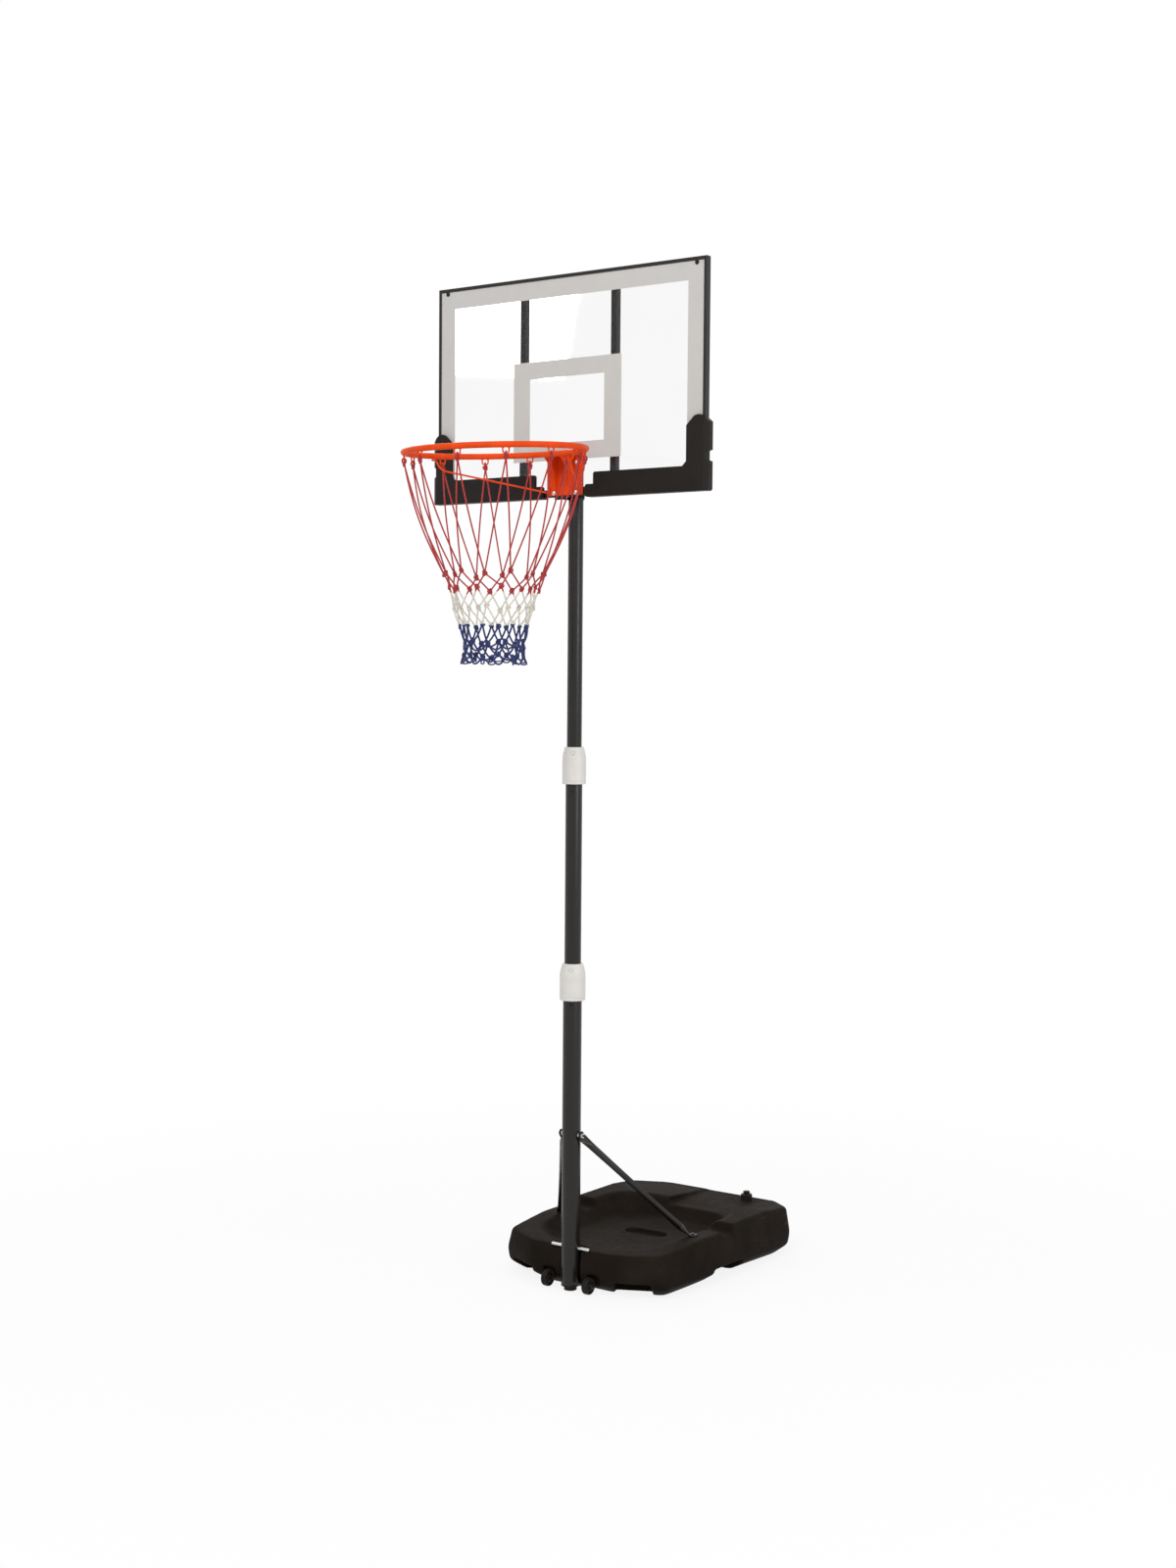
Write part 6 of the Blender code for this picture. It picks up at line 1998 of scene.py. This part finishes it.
    def tail_loops(self, knots: np.ndarray) -> Surface:
        """A teardrop of cord that hangs from each of the lowest knots, turned its own way:
        across = w sin s (1 - cos s) / 1.3, down = h (1 - cos s) / 2.

        Args:
            knots: the knot centres.

        Returns:
            The loops as one surface.
        """
        number = np.arange(knots.shape[1])
        s = np.linspace(0, TAU, self.tail_stations, endpoint=False)[None, :, None]
        facing = TAU * (number + 0.5) / len(number) + math.pi / 2
        facing = facing + self.tail_swing * np.sin(4.1 * number)
        across = np.stack([np.cos(facing), np.sin(facing), 0 * facing], -1)[:, None]
        drop, spread = self.tail_drop
        height = drop - spread * np.abs(np.sin(2.9 * number))[:, None, None]
        path = knots[-1][:, None] + across * self.tail_width * np.sin(s) * (1 - np.cos(s)) / 1.3
        path = path - UP * height * (1 - np.cos(s)) / 2
        return sweep(path, np.cross(across, UP), self.cord * self.tail_cord, self.sides,
                     closed=True)

    def build(self) -> None:
        """Makes the whole net as one piece."""
        knots = self.knots()
        last = len(self.radii) - 1
        surfaces = [
            self.strands(knots, range(self.loose_row), self.cord, 0.0),
            self.strands(knots, range(self.loose_row, last), self.loose_cord, self.slack[0]),
            self.festoons(knots), self.wound_knots(knots[1:]), self.wound_knots(knots[:1]),
            self.hook_loops(), self.tail_loops(knots),
        ]
        build_piece("braided_net", surfaces, CORD, Body.UPPER, ("net",), self.crease)


@dataclass
class Studio:
    """The pale floor, the soft lights, the white surroundings and the camera."""

    camera_at: Triple = (3.4402, -4.6764, 1.6977)
    heading: float = math.radians(35.96)
    pitch: float = 0.0495
    roll: float = 0.0076
    lens: float = 48.46
    sensor: float = 36.0
    sky: Four = (0.97, 0.985, 1.0, 1)
    sky_strength: float = 0.62
    floor_size: float = 30.0
    floor_drop: float = 0.0005
    floor_colour: Four = (0.86, 0.86, 0.86, 1)
    floor_fade: Pair = (1.0, 3.2)
    floor_white: float = 0.86
    lamps: tuple[tuple[str, tuple, tuple, float, float], ...] = (
        ("key", (0.8, -4.2, 5.0), (0, 0.1, 1.2), 2.4, 120),
        ("fill", (5.2, -0.6, 2.6), (0, 0.1, 1.2), 2.2, 75),
        ("rear", (-3.2, 2.6, 4.2), (0, 0.1, 1.4), 2.4, 60),
    )

    def camera(self) -> None:
        """Places the camera. Its right, up and backward directions come from the heading, then
        the pitch, then the roll.
        """
        right = Vector((math.cos(self.heading), math.sin(self.heading), 0))
        ahead = Vector((-math.sin(self.heading) * math.cos(self.pitch),
                        math.cos(self.heading) * math.cos(self.pitch), -math.sin(self.pitch)))
        above = right.cross(ahead)
        side = right * math.cos(self.roll) + above * math.sin(self.roll)
        up = above * math.cos(self.roll) - right * math.sin(self.roll)
        data = bpy.data.cameras.new("view")
        data.lens, data.sensor_width = self.lens, self.sensor
        camera = bpy.data.objects.new("view", data)
        turn = Matrix((side, up, -ahead)).transposed()
        camera.matrix_world = Matrix.Translation(self.camera_at) @ turn.to_4x4()
        bpy.context.scene.collection.objects.link(camera)
        bpy.context.scene.camera = camera

    def seen_share(self, nodes: Nodes) -> bpy.types.NodeSocket:
        """1 for a ray from the camera, off gloss or through glass, and 0 for any other ray.

        Args:
            nodes: the tree that asks.

        Returns:
            The share.
        """
        rays = nodes.add("LightPath").outputs
        seen = nodes.maths("MAXIMUM", rays["Is Camera Ray"], rays["Is Glossy Ray"])
        return nodes.maths("MAXIMUM", seen, rays["Is Transmission Ray"])

    def surroundings(self) -> None:
        """White to the camera, gloss and glass, and a soft grey light for everything else."""
        world = bpy.data.worlds.new("surroundings")
        bpy.context.scene.world = world
        world.use_nodes = True
        world.node_tree.nodes.clear()
        nodes = Nodes(world.node_tree)
        light = nodes.add("Background", {0: self.sky, 1: self.sky_strength})
        seen = nodes.add("Background", {0: WHITE, 1: 1.0})
        mix = nodes.add("MixShader", {0: self.seen_share(nodes), 1: light.outputs[0],
                                      2: seen.outputs[0]})
        nodes.add("OutputWorld", {0: mix.outputs[0]})

    def floor(self) -> None:
        """A large pale floor. It shows mostly its own white to the camera, so that only the soft
        shadow marks it, and it fades into the surroundings away from the stand.
        """
        mesh = bpy.data.meshes.new("floor")
        size = self.floor_size
        mesh.from_pydata([(-size, -size, 0), (size, -size, 0), (size, size, 0), (-size, size, 0)],
                         [], [(0, 1, 2, 3)])
        floor = bpy.data.objects.new("floor", mesh)
        floor.location.z = -self.floor_drop
        bpy.context.scene.collection.objects.link(floor)
        material = bpy.data.materials.new("pale_floor")
        material.use_nodes = True
        material.node_tree.nodes.clear()
        nodes = Nodes(material.node_tree)
        matt = nodes.add("BsdfDiffuse", {0: self.floor_colour})
        white = nodes.add("Emission", {0: WHITE})
        place = nodes.add("TexCoord").outputs["Object"]
        length = nodes.add("VectorMath", {0: place}, operation="LENGTH").outputs["Value"]
        near, far = self.floor_fade
        fade = nodes.add("MapRange", {"Value": length, "From Min": near, "From Max": far,
                                      "To Min": self.floor_white, "To Max": 1.0},
                         interpolation_type="SMOOTHSTEP")
        share = nodes.maths("MULTIPLY", self.seen_share(nodes), fade.outputs[0])
        mix = nodes.add("MixShader", {0: share, 1: matt.outputs[0], 2: white.outputs[0]})
        nodes.add("OutputMaterial", {0: mix.outputs[0]})
        mesh.materials.append(material)

    def lamp(self, name: str, at: tuple, aim: tuple, size: float, power: float) -> None:
        """A square soft light.

        Args:
            name: its name.
            at: its place.
            aim: the point that it is turned to.
            size: the length of its sides.
            power: its power in watts.
        """
        data = bpy.data.lights.new(name, "AREA")
        data.size, data.energy = size, power
        lamp = bpy.data.objects.new(name, data)
        lamp.location = at
        lamp.rotation_mode = "QUATERNION"
        lamp.rotation_quaternion = (Vector(aim) - Vector(at)).to_track_quat("-Z", "Y")
        bpy.context.scene.collection.objects.link(lamp)

    def build(self) -> None:
        """Sets up the view, the surroundings, the floor and three soft lights."""
        self.camera()
        self.surroundings()
        self.floor()
        for lamp in self.lamps:
            self.lamp(*lamp)
        bpy.context.scene.view_settings.view_transform = "Standard"


def plain(corners: tuple) -> list[list[float]]:
    """Corners as plain lists of numbers."""
    return [[float(value) for value in corner] for corner in corners]


def main() -> None:
    """Builds the studio and every sub-assembly in order."""
    logging.basicConfig(level=logging.INFO, format="%(message)s")
    Studio().build()
    BaseTank().build()
    FillerCap().build()
    Wheels().build()
    Pole().build()
    Struts().build()
    Board().build()
    rim = Rim()
    rim.build()
    Net(rim).build()
    Fasteners().build()


if __name__ == "__main__":
    main()
